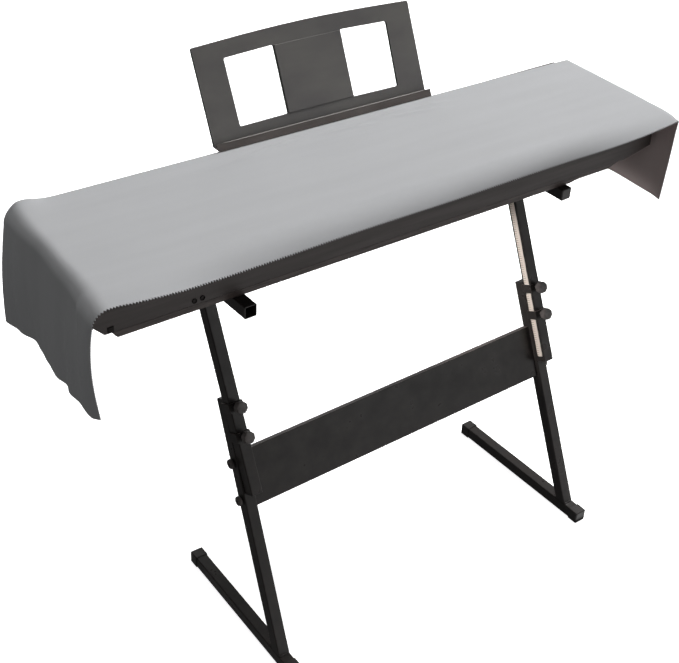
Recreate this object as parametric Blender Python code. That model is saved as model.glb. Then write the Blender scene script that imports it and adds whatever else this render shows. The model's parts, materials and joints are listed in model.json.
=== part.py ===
"""A dust cover of soft cloth, draped over a slim digital piano that stands on a Z-shaped stand.

The cloth is one open sheet: it lies on the piano's flat top, curls over the front edge,
and hangs past both short ends as loose flaps. The piano, its music rest and the stand are
plain. Metres, +Z up, the floor is z = 0, the player sits on the -Y side.
"""

import math

import bmesh
import bpy
import numpy as np
from mathutils import Matrix, Vector

# Driving sizes of the piano
PIANO_LENGTH = 1.300
PIANO_DEPTH = 0.277
PIANO_TOP = 0.880
PIANO_UNDERSIDE = 0.765
BOARD_THICKNESS = 0.014
BOARD_INSET_LEFT = 0.047
BOARD_INSET_RIGHT = 0.117
BOARD_SLANT_LEFT = 0.011
BOARD_SLANT_RIGHT = 0.026
BOARD_RISE_START = 0.422
BOARD_RISE_END = 0.450
BOARD_RISE = 0.0035
BOARD_DEPTH = 0.270
SHELL_END_CHAMFER = 0.023
SHELL_RISE_START = 0.574
SHELL_RISE = 0.016
SHELL_EDGE_RADIUS = 0.012
REAR_STEP_DEPTH = 0.035
REAR_STEP_DROP = 0.018
PIANO_YAW = math.radians(-1.8)
PIANO_MIDDLE_X = -0.020

# Driving sizes of the music rest
REST_WIDTH = 0.502
REST_HEIGHT = 0.188
REST_ARCH = 0.0075
REST_THICKNESS = 0.005
REST_LEAN = math.radians(26.0)
REST_MIDDLE_X = 0.016
REST_FOOT_Y = 0.2955
REST_FOOT_Z = 0.8880
REST_CORNER = 0.004
REST_TOP_LEFT_WIDER = 0.002
REST_YAW = math.radians(-0.9)
WINDOW_CORNER = 0.003
FIELD_HALF_WIDTH = 0.0770
FIELD_BOTTOM = 0.0280
FIELD_TOP = 0.1600
FIELD_RAISE = 0.0015
LEDGE_LEFT_SHORT = 0.000
LEDGE_RIGHT_LONG = 0.006
LEDGE_CORNER = 0.006
LEDGE_BOTTOM = 0.8832
LEDGE_FRONT = 0.0140
LEDGE_BACK = 0.0105
LEDGE_THICKNESS = 0.0022
LEDGE_LIP = 0.0150
TONGUE_WIDTH = 0.036
TONGUE_THICKNESS = 0.0035
TONGUE_SPREAD = 0.170

# Driving sizes of the stand
TUBE_SIDE = 0.025
TUBE_WALL = 0.0015
TUBE_CORNER = 0.002
FRAME_SPACING = 0.770
STAND_LEAN = math.radians(24.65)
LEAN_FOOT_Y = -0.2104
FOOT_FRONT_Y = -0.2124
FOOT_LENGTH = 0.390
FOOT_CAP_LENGTH = 0.024
FOOT_CAP_WALL = 0.001
ARM_FRONT_Y = -0.0221
ARM_LENGTH = 0.290
PLUG_FLANGE = 0.003
PLUG_DEPTH = 0.012
UPPER_TUBE_BOTTOM = 0.3879
LEFT_POST_SPLAY = math.radians(1.92)
LEFT_POST_PIVOT = 0.5000
LEFT_FOOT_YAW = math.radians(-2.6)
STRAP_BELOW_TOP = 0.0100
STRAP_SPACING = 0.0600
STRAP_WIDTH = 0.0185
STRAP_THICKNESS = 0.002
STRAP_SIDE_ROOM = 0.0012
KNOB_DIAMETER = 0.025
KNOB_DEPTH = 0.0135
KNOB_LOBES = 8
KNOB_STANDOFF = 0.008
KNOB_NECK_DIAMETER = 0.012
KNOB_SCREW_DIAMETER = 0.008
CROSSBAR_BOTTOM = 0.3510
CROSSBAR_TOP = 0.4652
CROSSBAR_FACE = 0.0330
CROSSBAR_DEPTH = 0.0150
CROSSBAR_WALL = 0.0015
SIDE_SCREW_DIAMETER = 0.020
SIDE_SCREW_DEPTH = 0.009
SIDE_SCREW_BACK = 0.0405
SCALE_WIDTH = 0.0145
SCALE_THICKNESS = 0.0004
SCALE_FRONT_INSET = 0.0045
SCALE_ENDS = 0.010

# Driving sizes of the cloth, from the front left corner of the piano's top
CLOTH_THICKNESS = 0.0018
CLOTH_LIFT = 0.0008
FRONT_OVERHANG_LEFT = 0.062
FRONT_OVERHANG_RIGHT = 0.057
BACK_EDGE_LEFT = 0.298
BACK_EDGE_RIGHT = 0.2730
LEFT_PLANE = 0.681
LEFT_PLANE_BACK = 0.665
LEFT_FLAP_DROP = 0.230
LEFT_SHOULDER_SWEEP = 0.002
LEFT_HEM_SWEEP = 0.008
RIGHT_BEND_START = 0.646
RIGHT_BEND_RADIUS = 0.019
RIGHT_FLAP_DROP = 0.202
RIGHT_SHOULDER_SWEEP = 0.008
RIGHT_HEM_SWEEP = 0.002
SWEEP_RISE = 0.15
BACK_CORNER_LIFT = 0.009
BACK_CORNER_PLACE = -0.628
BACK_CORNER_SPREAD = 0.030
BACK_CORNER_REACH = 0.060
COLUMNS_ON_TOP = 36
COLUMNS_ON_BEND = 5
COLUMNS_ON_FLAP = 9
ROWS_ON_OVERHANG = 5
ROWS_ON_TOP = 17

# Room between neighbours that touch
GAP = 0.0003

# Centre of the whole object's box, seen from above, in the stand's own layout
BOX_MIDDLE_X = -0.0229
BOX_MIDDLE_Y = 0.0904

# How far the front hem has curled down, along the piano
FRONT_CURL = [
    {"along": -0.66, "curl_deg": 12},
    {"along": -0.61, "curl_deg": 14},
    {"along": -0.57, "curl_deg": 21},
    {"along": -0.50, "curl_deg": 37},
    {"along": -0.42, "curl_deg": 47},
    {"along": -0.17, "curl_deg": 48},
    {"along": 0.18, "curl_deg": 44},
    {"along": 0.43, "curl_deg": 56},
    {"along": 0.55, "curl_deg": 50},
    {"along": 0.60, "curl_deg": 44},
    {"along": 0.635, "curl_deg": 29},
    {"along": 0.66, "curl_deg": 16},
]

# Where the bend over the left end starts and how round it is, from the front hem at share
# -1, through the piano's front edge at 0, to the back hem at 1
LEFT_BEND = [
    {"share": -1.00, "start": 0.6470, "radius": 0.035},
    {"share": -0.20, "start": 0.6420, "radius": 0.035},
    {"share": 0.25, "start": 0.6400, "radius": 0.026},
    {"share": 0.58, "start": 0.6375, "radius": 0.023},
    {"share": 0.86, "start": 0.6350, "radius": 0.028},
    {"share": 1.00, "start": 0.6355, "radius": 0.028},
]

# How far each flap stands out or falls in, at its shoulder, belly and hem, and how much
# longer it hangs there
LEFT_FLAP = [
    {"across": -0.06, "shoulder": 0.001, "belly": 0.0068, "hem": -0.006, "longer": -0.005},
    {"across": -0.03, "shoulder": 0.001, "belly": 0.0058, "hem": -0.003, "longer": 0.002},
    {"across": 0.01, "shoulder": 0.000, "belly": 0.003, "hem": -0.0055, "longer": 0.000},
    {"across": 0.045, "shoulder": 0.000, "belly": 0.003, "hem": -0.0015, "longer": 0.001},
    {"across": 0.067, "shoulder": 0.000, "belly": 0.003, "hem": -0.006, "longer": -0.001},
    {"across": 0.10, "shoulder": 0.000, "belly": 0.003, "hem": -0.0005, "longer": 0.001},
    {"across": 0.145, "shoulder": 0.000, "belly": 0.003, "hem": -0.0035, "longer": 0.000},
    {"across": 0.18, "shoulder": 0.000, "belly": 0.003, "hem": -0.0065, "longer": -0.001},
    {"across": 0.21, "shoulder": 0.000, "belly": 0.004, "hem": -0.009, "longer": -0.002},
    {"across": 0.257, "shoulder": 0.000, "belly": 0.005, "hem": 0.0035, "longer": 0.000},
    {"across": 0.30, "shoulder": 0.000, "belly": 0.005, "hem": 0.015, "longer": -0.002},
]
RIGHT_FLAP = [
    {"across": -0.05, "shoulder": 0.003, "belly": 0.002, "hem": -0.007, "longer": -0.006},
    {"across": 0.00, "shoulder": 0.001, "belly": 0.001, "hem": 0.001, "longer": 0.000},
    {"across": 0.09, "shoulder": 0.001, "belly": 0.001, "hem": 0.004, "longer": 0.001},
    {"across": 0.17, "shoulder": 0.000, "belly": 0.002, "hem": -0.003, "longer": 0.000},
    {"across": 0.24, "shoulder": 0.000, "belly": 0.002, "hem": 0.005, "longer": 0.001},
    {"across": 0.30, "shoulder": 0.000, "belly": 0.001, "hem": 0.001, "longer": -0.001},
]

# Corners of a window of the rest, from its lower outer corner, counter-clockwise for the
# right window
WINDOW_CORNERS = [
    {"from_middle": 0.0780, "height": 0.0274},
    {"from_middle": 0.1870, "height": 0.0260},
    {"from_middle": 0.1895, "height": 0.1573},
    {"from_middle": 0.0780, "height": 0.1612},
]

# How far up the leaning frame each post ends
POST_TOPS = {"left": 0.5735, "right": 0.5630}

# Crossbar screws, measured up the leaning frame
SIDE_SCREWS = [
    {"level": "upper", "height": 0.4468},
    {"level": "lower", "height": 0.3708},
]

# Finishes: sRGB colour, roughness, metallic
FINISHES = {
    "cloth": ("#B4B6B8", 0.95, 0.0),
    "piano_plastic": ("#2E2B2A", 0.55, 0.0),
    "rest_plastic": ("#4F4C49", 0.50, 0.0),
    "stand_paint": ("#1E1C1C", 0.45, 0.0),
    "black_plastic": ("#141414", 0.50, 0.0),
    "scale_print": ("#B9ACA0", 0.60, 0.0),
}


def linear(channel):
    """One sRGB channel, 0 to 1, as linear light."""
    if channel <= 0.04045:
        return channel / 12.92
    return ((channel + 0.055) / 1.055) ** 2.4


def finish(name):
    """The named Principled material, made once."""
    if name in bpy.data.materials:
        return bpy.data.materials[name]
    colour, roughness, metallic = FINISHES[name]
    channels = [int(colour[i : i + 2], 16) / 255 for i in (1, 3, 5)]
    material = bpy.data.materials.new(name)
    material.use_nodes = True
    shader = material.node_tree.nodes["Principled BSDF"]
    shader.inputs["Base Color"].default_value = [linear(c) for c in channels] + [1.0]
    shader.inputs["Roughness"].default_value = roughness
    shader.inputs["Metallic"].default_value = metallic
    return material


def empty(name, location, rotation=(0.0, 0.0, 0.0), parent=None):
    """A named point that pieces hang from."""
    point = bpy.data.objects.new(name, None)
    point.location = location
    point.rotation_euler = rotation
    point.parent = parent
    bpy.context.scene.collection.objects.link(point)
    return point


def piece(name, bm, look, parent, location=(0.0, 0.0, 0.0), rotation=(0.0, 0.0, 0.0)):
    """Turns a bmesh into one named sub-part with its finish, faces pointing out."""
    bmesh.ops.recalc_face_normals(bm, faces=bm.faces)
    mesh = bpy.data.meshes.new(name)
    bm.to_mesh(mesh)
    bm.free()
    mesh.materials.append(finish(look))
    made = bpy.data.objects.new(name, mesh)
    made.parent = parent
    made.location = location
    made.rotation_euler = rotation
    bpy.context.scene.collection.objects.link(made)
    return made


def shade_round(made, angle=35.0):
    """Smooth shading with the real edges kept sharp."""
    made.data.shade_smooth()
    made.data.set_sharp_from_angle(angle=math.radians(angle))


def add_box(bm, low, high):
    """A closed box between two corners."""
    size = [h - l for l, h in zip(low, high)]
    middle = [(h + l) / 2 for l, h in zip(low, high)]
    place = Matrix.Translation(middle) @ Matrix.Diagonal(size + [1.0])
    return bmesh.ops.create_cube(bm, size=1.0, matrix=place)["verts"]


def extrude_outline(bm, outline, shift):
    """Closes a flat outline of points and extrudes it by the shift."""
    face = bm.faces.new([bm.verts.new(point) for point in outline])
    grown = bmesh.ops.extrude_face_region(bm, geom=[face])["geom"]
    top = [part for part in grown if isinstance(part, bmesh.types.BMVert)]
    bmesh.ops.translate(bm, verts=top, vec=Vector(shift))
    return top


def rounded_square(side, radius, steps=2):
    """Corner points of a square with rounded corners, counter-clockwise."""
    reach = side / 2 - radius
    points = []
    for quarter, (sx, sy) in enumerate([(1, 1), (-1, 1), (-1, -1), (1, -1)]):
        for step in range(steps + 1):
            angle = math.pi / 2 * (quarter + step / steps)
            points.append((sx * reach + radius * math.cos(angle), sy * reach + radius * math.sin(angle)))
    return points


def square_tube(low_cut, high_cut):
    """A square tube along Z.

    Each cut is the height of that end on the tube's axis, and how much the height changes
    for each metre across Y and across X, so that a leaning tube can end level with the floor.
    """
    outer = rounded_square(TUBE_SIDE, TUBE_CORNER)
    inner = rounded_square(TUBE_SIDE - 2 * TUBE_WALL, TUBE_CORNER - TUBE_WALL)
    bm = bmesh.new()
    rings = []
    for ring in (outer, inner):
        for height, slope_y, slope_x in (low_cut, high_cut):
            rings.append([bm.verts.new((x, y, height + slope_y * y + slope_x * x)) for x, y in ring])
    out_low, out_high, in_low, in_high = rings
    count = len(outer)
    for first, second in ((out_low, out_high), (out_high, in_high), (in_high, in_low), (in_low, out_low)):
        for i in range(count):
            j = (i + 1) % count
            bm.faces.new((first[i], first[j], second[j], second[i]))
    return bm


def add_turned(bm, radii_and_heights, sides, lobe=0.0):
    """A closed turned body round Z: rings of the given radius and height, capped at both ends.

    With a lobe, every other point of the wide rings stands further out.
    """
    rings = []
    for radius, height, lobed in radii_and_heights:
        ring = []
        for i in range(sides):
            angle = 2 * math.pi * i / sides
            reach = radius * (1 + (lobe if lobed and i % 2 else 0.0))
            ring.append(bm.verts.new((reach * math.cos(angle), reach * math.sin(angle), height)))
        rings.append(ring)
    for below, above in zip(rings, rings[1:]):
        for i in range(sides):
            j = (i + 1) % sides
            bm.faces.new((below[i], below[j], above[j], above[i]))
    bm.faces.new(rings[0])
    bm.faces.new(rings[-1])


def cut_with(target, cutter):
    """Takes the hidden cutter's shape out of the target."""
    cutter.hide_render = True
    cutter.display_type = "WIRE"
    boolean = target.modifiers.new("cut", "BOOLEAN")
    boolean.operation = "DIFFERENCE"
    boolean.solver = "EXACT"
    boolean.object = cutter


def join_with(target, helper):
    """Adds the hidden helper's shape to the target."""
    helper.hide_render = True
    helper.display_type = "WIRE"
    boolean = target.modifiers.new("join", "BOOLEAN")
    boolean.operation = "UNION"
    boolean.solver = "EXACT"
    boolean.object = helper


def read_table(rows, place, column):
    """A function that reads one column of a table smoothly, by a cosine ease between rows."""
    places = np.array([row[place] for row in rows])
    values = np.array([row[column] for row in rows])

    def at(where):
        where = np.clip(where, places[0], places[-1])
        index = np.clip(np.searchsorted(places, where) - 1, 0, len(places) - 2)
        share = (where - places[index]) / (places[index + 1] - places[index])
        ease = 0.5 - 0.5 * np.cos(np.pi * share)
        return values[index] + (values[index + 1] - values[index]) * ease

    return at


# Cloth
def curl(reach, angle):
    """A strip that bends evenly: how far forward and how far inward its end has come."""
    safe = np.maximum(angle, 1e-4)
    return reach * np.sin(safe) / safe, reach * (1 - np.cos(safe)) / safe


def cloth_columns():
    """Places along the sheet, from the left hem to the right hem.

    The whole part of each number is the stretch, and the rest is the share of the way
    along it: 0 left flap, 1 left bend, 2 top, 3 right bend, 4 right flap.
    """
    counts = (COLUMNS_ON_FLAP, COLUMNS_ON_BEND, COLUMNS_ON_TOP, COLUMNS_ON_BEND, COLUMNS_ON_FLAP)
    places = [i + np.linspace(0, 1, n, endpoint=False) for i, n in enumerate(counts)]
    return np.concatenate(places + [[5.0]])


def flap_offsets(rows, across, share):
    """How far a flap stands out, and how much longer it hangs, from its table."""
    shoulder, belly, hem, longer = (
        read_table(rows, "across", column)(across) for column in ("shoulder", "belly", "hem", "longer")
    )
    out = shoulder * (1 - share) + belly * np.sin(np.pi * share) + hem * share
    return out, longer * share


def drape(place, across_share):
    """Where a point of the cloth's underside lies on the piano.

    place comes from cloth_columns, and across_share runs from -1 at the front hem, through
    0 at the piano's front edge, to 1 at the back hem.
    """
    left = place < 2.5
    side = np.where(left, -1.0, 1.0)
    far = np.clip(across_share, 0, 1)
    left_start = read_table(LEFT_BEND, "share", "start")(across_share)
    left_radius = read_table(LEFT_BEND, "share", "radius")(across_share)
    start = np.where(left, left_start, RIGHT_BEND_START)
    radius = np.where(left, left_radius, RIGHT_BEND_RADIUS)
    drop = np.where(left, LEFT_FLAP_DROP, RIGHT_FLAP_DROP)
    shoulder_sweep = np.where(left, LEFT_SHOULDER_SWEEP, RIGHT_SHOULDER_SWEEP)
    hem_sweep = np.where(left, LEFT_HEM_SWEEP, RIGHT_HEM_SWEEP)
    left_plane = LEFT_PLANE + (LEFT_PLANE_BACK - LEFT_PLANE) * far
    on_top = np.clip(place - 2, 0, 1)
    flat_x = -left_start + (left_start + RIGHT_BEND_START) * on_top
    turn = np.where(left, np.clip(2 - place, 0, 1), np.clip(place - 3, 0, 1)) * math.pi / 2
    share = np.where(left, np.clip(1 - place, 0, 1), np.clip(place - 4, 0, 1))
    out = np.where(turn > 0, start + radius * np.sin(turn), side * flat_x)
    down = radius * (1 - np.cos(turn)) + share * (drop - radius)
    overhang = FRONT_OVERHANG_LEFT + (FRONT_OVERHANG_RIGHT - FRONT_OVERHANG_LEFT) * on_top
    back_edge = BACK_EDGE_LEFT + (BACK_EDGE_RIGHT - BACK_EDGE_LEFT) * on_top
    hung = np.maximum(-across_share, 0.0)
    bend = np.radians(read_table(FRONT_CURL, "along", "curl_deg")(side * out)) * hung
    forward, inward = curl(overhang * hung, bend)
    swept = hung * (shoulder_sweep * np.sin(turn) + hem_sweep * (1 - np.exp(-share / SWEEP_RISE)))
    across = np.where(across_share < 0, swept - forward, across_share * back_edge)
    left_out, left_longer = flap_offsets(LEFT_FLAP, across, share)
    right_out, right_longer = flap_offsets(RIGHT_FLAP, across, share)
    left_out = left_out + (left_plane - left_start - left_radius) * share
    bulge = np.where(left, left_out, right_out) * np.sin(turn) ** 2
    longer = np.where(left, left_longer, right_longer)
    corner = np.exp(-(((side * out - BACK_CORNER_PLACE) / BACK_CORNER_SPREAD) ** 2))
    behind = np.exp(-2 * np.maximum(back_edge - across, 0.0) / BACK_CORNER_REACH)
    lift = BACK_CORNER_LIFT * corner * behind * far * np.cos(turn) ** 2
    x = side * (out - inward * np.sin(turn) + bulge)
    z = PIANO_TOP + CLOTH_LIFT - down - inward * np.cos(turn) - longer + lift
    return x, across, z


def cover_sheet(parent):
    """The cloth as one sheet: a grid of draped points, thickened outward."""
    along = cloth_columns()
    front = -np.linspace(1, 0, ROWS_ON_OVERHANG, endpoint=False)
    back = np.linspace(0, 1, ROWS_ON_TOP)
    shares = np.concatenate([front, back])
    grid_along, grid_share = np.meshgrid(along, shares, indexing="ij")
    points = np.stack(drape(grid_along, grid_share), axis=-1)
    columns, rows = grid_along.shape
    bm = bmesh.new()
    verts = [bm.verts.new(point) for point in points.reshape(-1, 3)]
    for i in range(columns - 1):
        for j in range(rows - 1):
            a = i * rows + j
            bm.faces.new((verts[a], verts[a + rows], verts[a + rows + 1], verts[a + 1]))
    mesh = bpy.data.meshes.new("cover_sheet")
    bm.to_mesh(mesh)
    bm.free()
    mesh.materials.append(finish("cloth"))
    made = bpy.data.objects.new("cover_sheet", mesh)
    made.parent = parent
    bpy.context.scene.collection.objects.link(made)
    thick = made.modifiers.new("cloth thickness", "SOLIDIFY")
    thick.thickness = CLOTH_THICKNESS
    thick.offset = 1.0
    thick.use_even_offset = True
    shade_round(made)
    return made


# Piano
def piano_shell(parent):
    """The plastic body: its side view extruded along the keyboard.

    The left end's lower corner is cut off, and the underside rises towards the right end.
    """
    bottom = PIANO_UNDERSIDE + BOARD_THICKNESS
    step = PIANO_TOP - REAR_STEP_DROP
    outline = [
        (0.0, bottom),
        (0.0, PIANO_TOP),
        (PIANO_DEPTH, PIANO_TOP),
        (PIANO_DEPTH, step),
        (PIANO_DEPTH + REAR_STEP_DEPTH, step),
        (PIANO_DEPTH + REAR_STEP_DEPTH, bottom),
    ]
    bm = bmesh.new()
    half = PIANO_LENGTH / 2
    extrude_outline(bm, [(-half, y, z) for y, z in outline], (PIANO_LENGTH, 0, 0))
    everything = list(bm.verts) + list(bm.edges) + list(bm.faces)
    bmesh.ops.bisect_plane(bm, geom=everything, plane_co=(SHELL_RISE_START, 0, 0), plane_no=(1, 0, 0), dist=1e-6)
    for vert in bm.verts:
        if vert.co.x > half - 1e-6 and vert.co.z < bottom + 1e-6:
            vert.co.z += SHELL_RISE
    lower = [e for e in bm.edges if all(v.co.z < bottom + 1e-6 and v.co.x < 1e-6 - half for v in e.verts)]
    bmesh.ops.bevel(bm, geom=lower, offset=SHELL_END_CHAMFER, segments=1, affect="EDGES")
    upper = [e for e in bm.edges if all(v.co.z > PIANO_TOP - 1e-6 for v in e.verts)]
    rim = [e for e in upper if any(v.co.y < 1e-6 for v in e.verts) or abs(e.verts[0].co.x - e.verts[1].co.x) < 1e-6]
    bmesh.ops.bevel(bm, geom=rim, offset=SHELL_EDGE_RADIUS, segments=4, affect="EDGES", profile=0.5)
    made = piece("piano_shell", bm, "piano_plastic", parent)
    shade_round(made)
    return made


def bottom_board(parent):
    """The board under the shell: its short ends slant inward, and it is thinner right of the stand."""
    left = BOARD_INSET_LEFT - PIANO_LENGTH / 2
    right = PIANO_LENGTH / 2 - BOARD_INSET_RIGHT
    high = PIANO_UNDERSIDE + BOARD_THICKNESS - GAP
    outline = [
        (left, PIANO_UNDERSIDE),
        (BOARD_RISE_START, PIANO_UNDERSIDE),
        (BOARD_RISE_END, PIANO_UNDERSIDE + BOARD_RISE),
        (right, PIANO_UNDERSIDE + BOARD_RISE),
        (right + BOARD_SLANT_RIGHT, high),
        (left - BOARD_SLANT_LEFT, high),
    ]
    bm = bmesh.new()
    extrude_outline(bm, [(x, 0.0015, z) for x, z in outline], (0, BOARD_DEPTH, 0))
    return piece("piano_bottom_board", bm, "piano_plastic", parent)


# Music rest
def rest_outline():
    """Outline of the rest seen face on: straight foot and sides, rounded corners, arched top."""
    half = REST_WIDTH / 2
    points = [(-half, GAP), (half, GAP)]
    for side in (1, -1):
        top_half = half if side > 0 else half + REST_TOP_LEFT_WIDER
        middle = (side * (top_half - REST_CORNER), REST_HEIGHT - REST_CORNER)
        angles = np.radians([0, 30, 60, 90] if side > 0 else [90, 120, 150, 180])
        corner = [(middle[0] + REST_CORNER * math.cos(a), middle[1] + REST_CORNER * math.sin(a)) for a in angles]
        points += corner
        if side > 0:
            for share in np.linspace(0, 1, 11)[1:-1]:
                x = middle[0] * (1 - 2 * share)
                points.append((x, REST_HEIGHT + REST_ARCH * math.sin(math.pi * share)))
    return points


def window_cutter(side, parent):
    """A prism with rounded corners that opens one window of the rest."""
    points = []
    for corner, first in zip(WINDOW_CORNERS, (180, 270, 0, 90)):
        inner_x = corner["from_middle"] + (WINDOW_CORNER if first in (90, 180) else -WINDOW_CORNER)
        inner_z = corner["height"] + (WINDOW_CORNER if first in (180, 270) else -WINDOW_CORNER)
        for angle in (first, first + 45, first + 90):
            turn = math.radians(angle)
            x = side * (inner_x + WINDOW_CORNER * math.cos(turn))
            points.append((x, -0.01, inner_z + WINDOW_CORNER * math.sin(turn)))
    bm = bmesh.new()
    extrude_outline(bm, points, (0, 0.03, 0))
    return piece("window_cutter", bm, "rest_plastic", parent)


def corner_cutter(left, parent):
    """What is outside a quarter circle at the ledge's lower left corner, seen from the front."""
    far = 0.01
    angles = np.radians(np.linspace(270, 180, 6))
    middle = (left + LEDGE_CORNER, LEDGE_BOTTOM + LEDGE_CORNER)
    arc = [(middle[0] + LEDGE_CORNER * math.cos(a), middle[1] + LEDGE_CORNER * math.sin(a)) for a in angles]
    outline = [(left - far, LEDGE_BOTTOM - far), (arc[0][0], LEDGE_BOTTOM - far), *arc, (left - far, arc[-1][1])]
    bm = bmesh.new()
    extrude_outline(bm, [(x, -0.03, z) for x, z in outline], (0, 0.06, 0))
    return piece("corner_cutter", bm, "rest_plastic", parent)


def music_rest(parent):
    """The rest panel with two windows and a slightly raised middle field, on a ledge with a lip.

    The panel is built upright, its face at y = 0, under an empty that leans it back. The
    ledge lies level on the cloth; its lip leans like the panel, and two tongues at its back
    go down to the piano's rear step.
    """
    place = empty("rest_place", (REST_MIDDLE_X, REST_FOOT_Y, 0), (0, 0, REST_YAW), parent)
    tilt = empty("rest_tilt", (0, 0, REST_FOOT_Z), (-REST_LEAN, 0, 0), place)
    bm = bmesh.new()
    extrude_outline(bm, [(x, 0.0, z) for x, z in rest_outline()], (0, REST_THICKNESS, 0))
    panel = piece("music_rest_panel", bm, "rest_plastic", tilt)
    for side in (-1, 1):
        cut_with(panel, window_cutter(side, tilt))
    bm = bmesh.new()
    low = (-FIELD_HALF_WIDTH, -FIELD_RAISE, FIELD_BOTTOM)
    high = (FIELD_HALF_WIDTH, REST_THICKNESS / 2, FIELD_TOP)
    add_box(bm, low, high)
    join_with(panel, piece("field_helper", bm, "rest_plastic", tilt))
    bm = bmesh.new()
    left = -REST_WIDTH / 2 + LEDGE_LEFT_SHORT
    right = REST_WIDTH / 2 + LEDGE_RIGHT_LONG
    lean = Vector((math.sin(REST_LEAN), math.cos(REST_LEAN)))
    across = Vector((math.cos(REST_LEAN), -math.sin(REST_LEAN)))
    heel = Vector((-LEDGE_FRONT, LEDGE_BOTTOM))
    tip = heel + lean * LEDGE_LIP
    inside = tip + across * LEDGE_THICKNESS
    floor = LEDGE_BOTTOM + LEDGE_THICKNESS
    inside_foot = inside - lean * (inside.y - floor) / lean.y
    section = [
        (LEDGE_BACK, LEDGE_BOTTOM),
        (LEDGE_BACK, floor),
        tuple(inside_foot),
        tuple(inside),
        tuple(tip),
        tuple(heel),
    ]
    extrude_outline(bm, [(left, y, z) for y, z in section], (right - left, 0, 0))
    ledge = piece("music_rest_ledge", bm, "rest_plastic", place)
    cut_with(ledge, corner_cutter(left, place))
    step = PIANO_TOP - REAR_STEP_DROP + GAP
    for side in (-1, 1):
        middle = side * TONGUE_SPREAD
        bm = bmesh.new()
        low = (middle - TONGUE_WIDTH / 2, LEDGE_BACK - 0.0005 - TONGUE_THICKNESS, step)
        high = (middle + TONGUE_WIDTH / 2, LEDGE_BACK - 0.0005, LEDGE_BOTTOM + 0.001)
        add_box(bm, low, high)
        join_with(ledge, piece("tongue_helper", bm, "rest_plastic", place))
    return panel, ledge


# Stand
def end_plug(name, parent, location, rotation):
    """A plastic plug that closes a square tube: a flange and a shank that sits inside."""
    bm = bmesh.new()
    half = TUBE_SIDE / 2
    inside = half - TUBE_WALL - GAP
    rings = ((half, 0.0), (half, PLUG_FLANGE * 0.6), (half - 0.0015, PLUG_FLANGE))
    flange = rounded_square(1.0, TUBE_CORNER / TUBE_SIDE)
    levels = [(inside * 2, -PLUG_DEPTH), (inside * 2, 0.0)] + [(reach * 2, height) for reach, height in rings]
    made = []
    for width, height in levels:
        made.append([bm.verts.new((x * width, y * width, height)) for x, y in flange])
    count = len(flange)
    for below, above in zip(made, made[1:]):
        for i in range(count):
            j = (i + 1) % count
            bm.faces.new((below[i], below[j], above[j], above[i]))
    bm.faces.new(made[0])
    bm.faces.new(made[-1])
    return piece(name, bm, "black_plastic", parent, location, rotation)


def foot_cap(name, parent, y, facing):
    """A plastic cup that slips over one end of the foot tube and stands on the floor."""
    outer = TUBE_SIDE / 2 + GAP + FOOT_CAP_WALL
    inner = TUBE_SIDE / 2 + GAP
    edge = 0.0015
    rings = [
        (inner, GAP + PLUG_FLANGE),
        (inner, FOOT_CAP_LENGTH),
        (outer, FOOT_CAP_LENGTH),
        (outer, edge),
        (outer - edge, 0.0),
    ]
    shape = rounded_square(1.0, 0.06)
    bm = bmesh.new()
    made = []
    for reach, depth in rings:
        width = reach * 2
        made.append([bm.verts.new((x * width, depth * -facing, z * width + outer)) for x, z in shape])
    count = len(shape)
    for below, above in zip(made, made[1:]):
        for i in range(count):
            j = (i + 1) % count
            bm.faces.new((below[i], below[j], above[j], above[i]))
    bm.faces.new(made[0])
    bm.faces.new(made[-1])
    return piece(name, bm, "black_plastic", parent, (0, y, 0))


def foot(side_name, x, parent):
    """The tube on the floor, along Y, with a cap over each end.

    The left foot is turned a little about its back end, as it is in the photograph.
    """
    yaw = LEFT_FOOT_YAW if side_name == "left" else 0.0
    place = empty(f"foot_place_{side_name}", (x, FOOT_FRONT_Y + FOOT_LENGTH, 0), (0, 0, yaw), parent)
    low = -FOOT_LENGTH + PLUG_FLANGE + 2 * GAP
    high = -PLUG_FLANGE - 2 * GAP
    lift = FOOT_CAP_WALL + GAP + TUBE_SIDE / 2
    bm = square_tube((-high, 0.0, 0.0), (-low, 0.0, 0.0))
    made = piece(f"foot_{side_name}", bm, "stand_paint", place, (0, 0, lift), (math.pi / 2, 0, 0))
    shade_round(made)
    foot_cap(f"foot_cap_{side_name}_front", place, -FOOT_LENGTH, -1)
    foot_cap(f"foot_cap_{side_name}_back", place, 0.0, 1)
    return made


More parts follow.
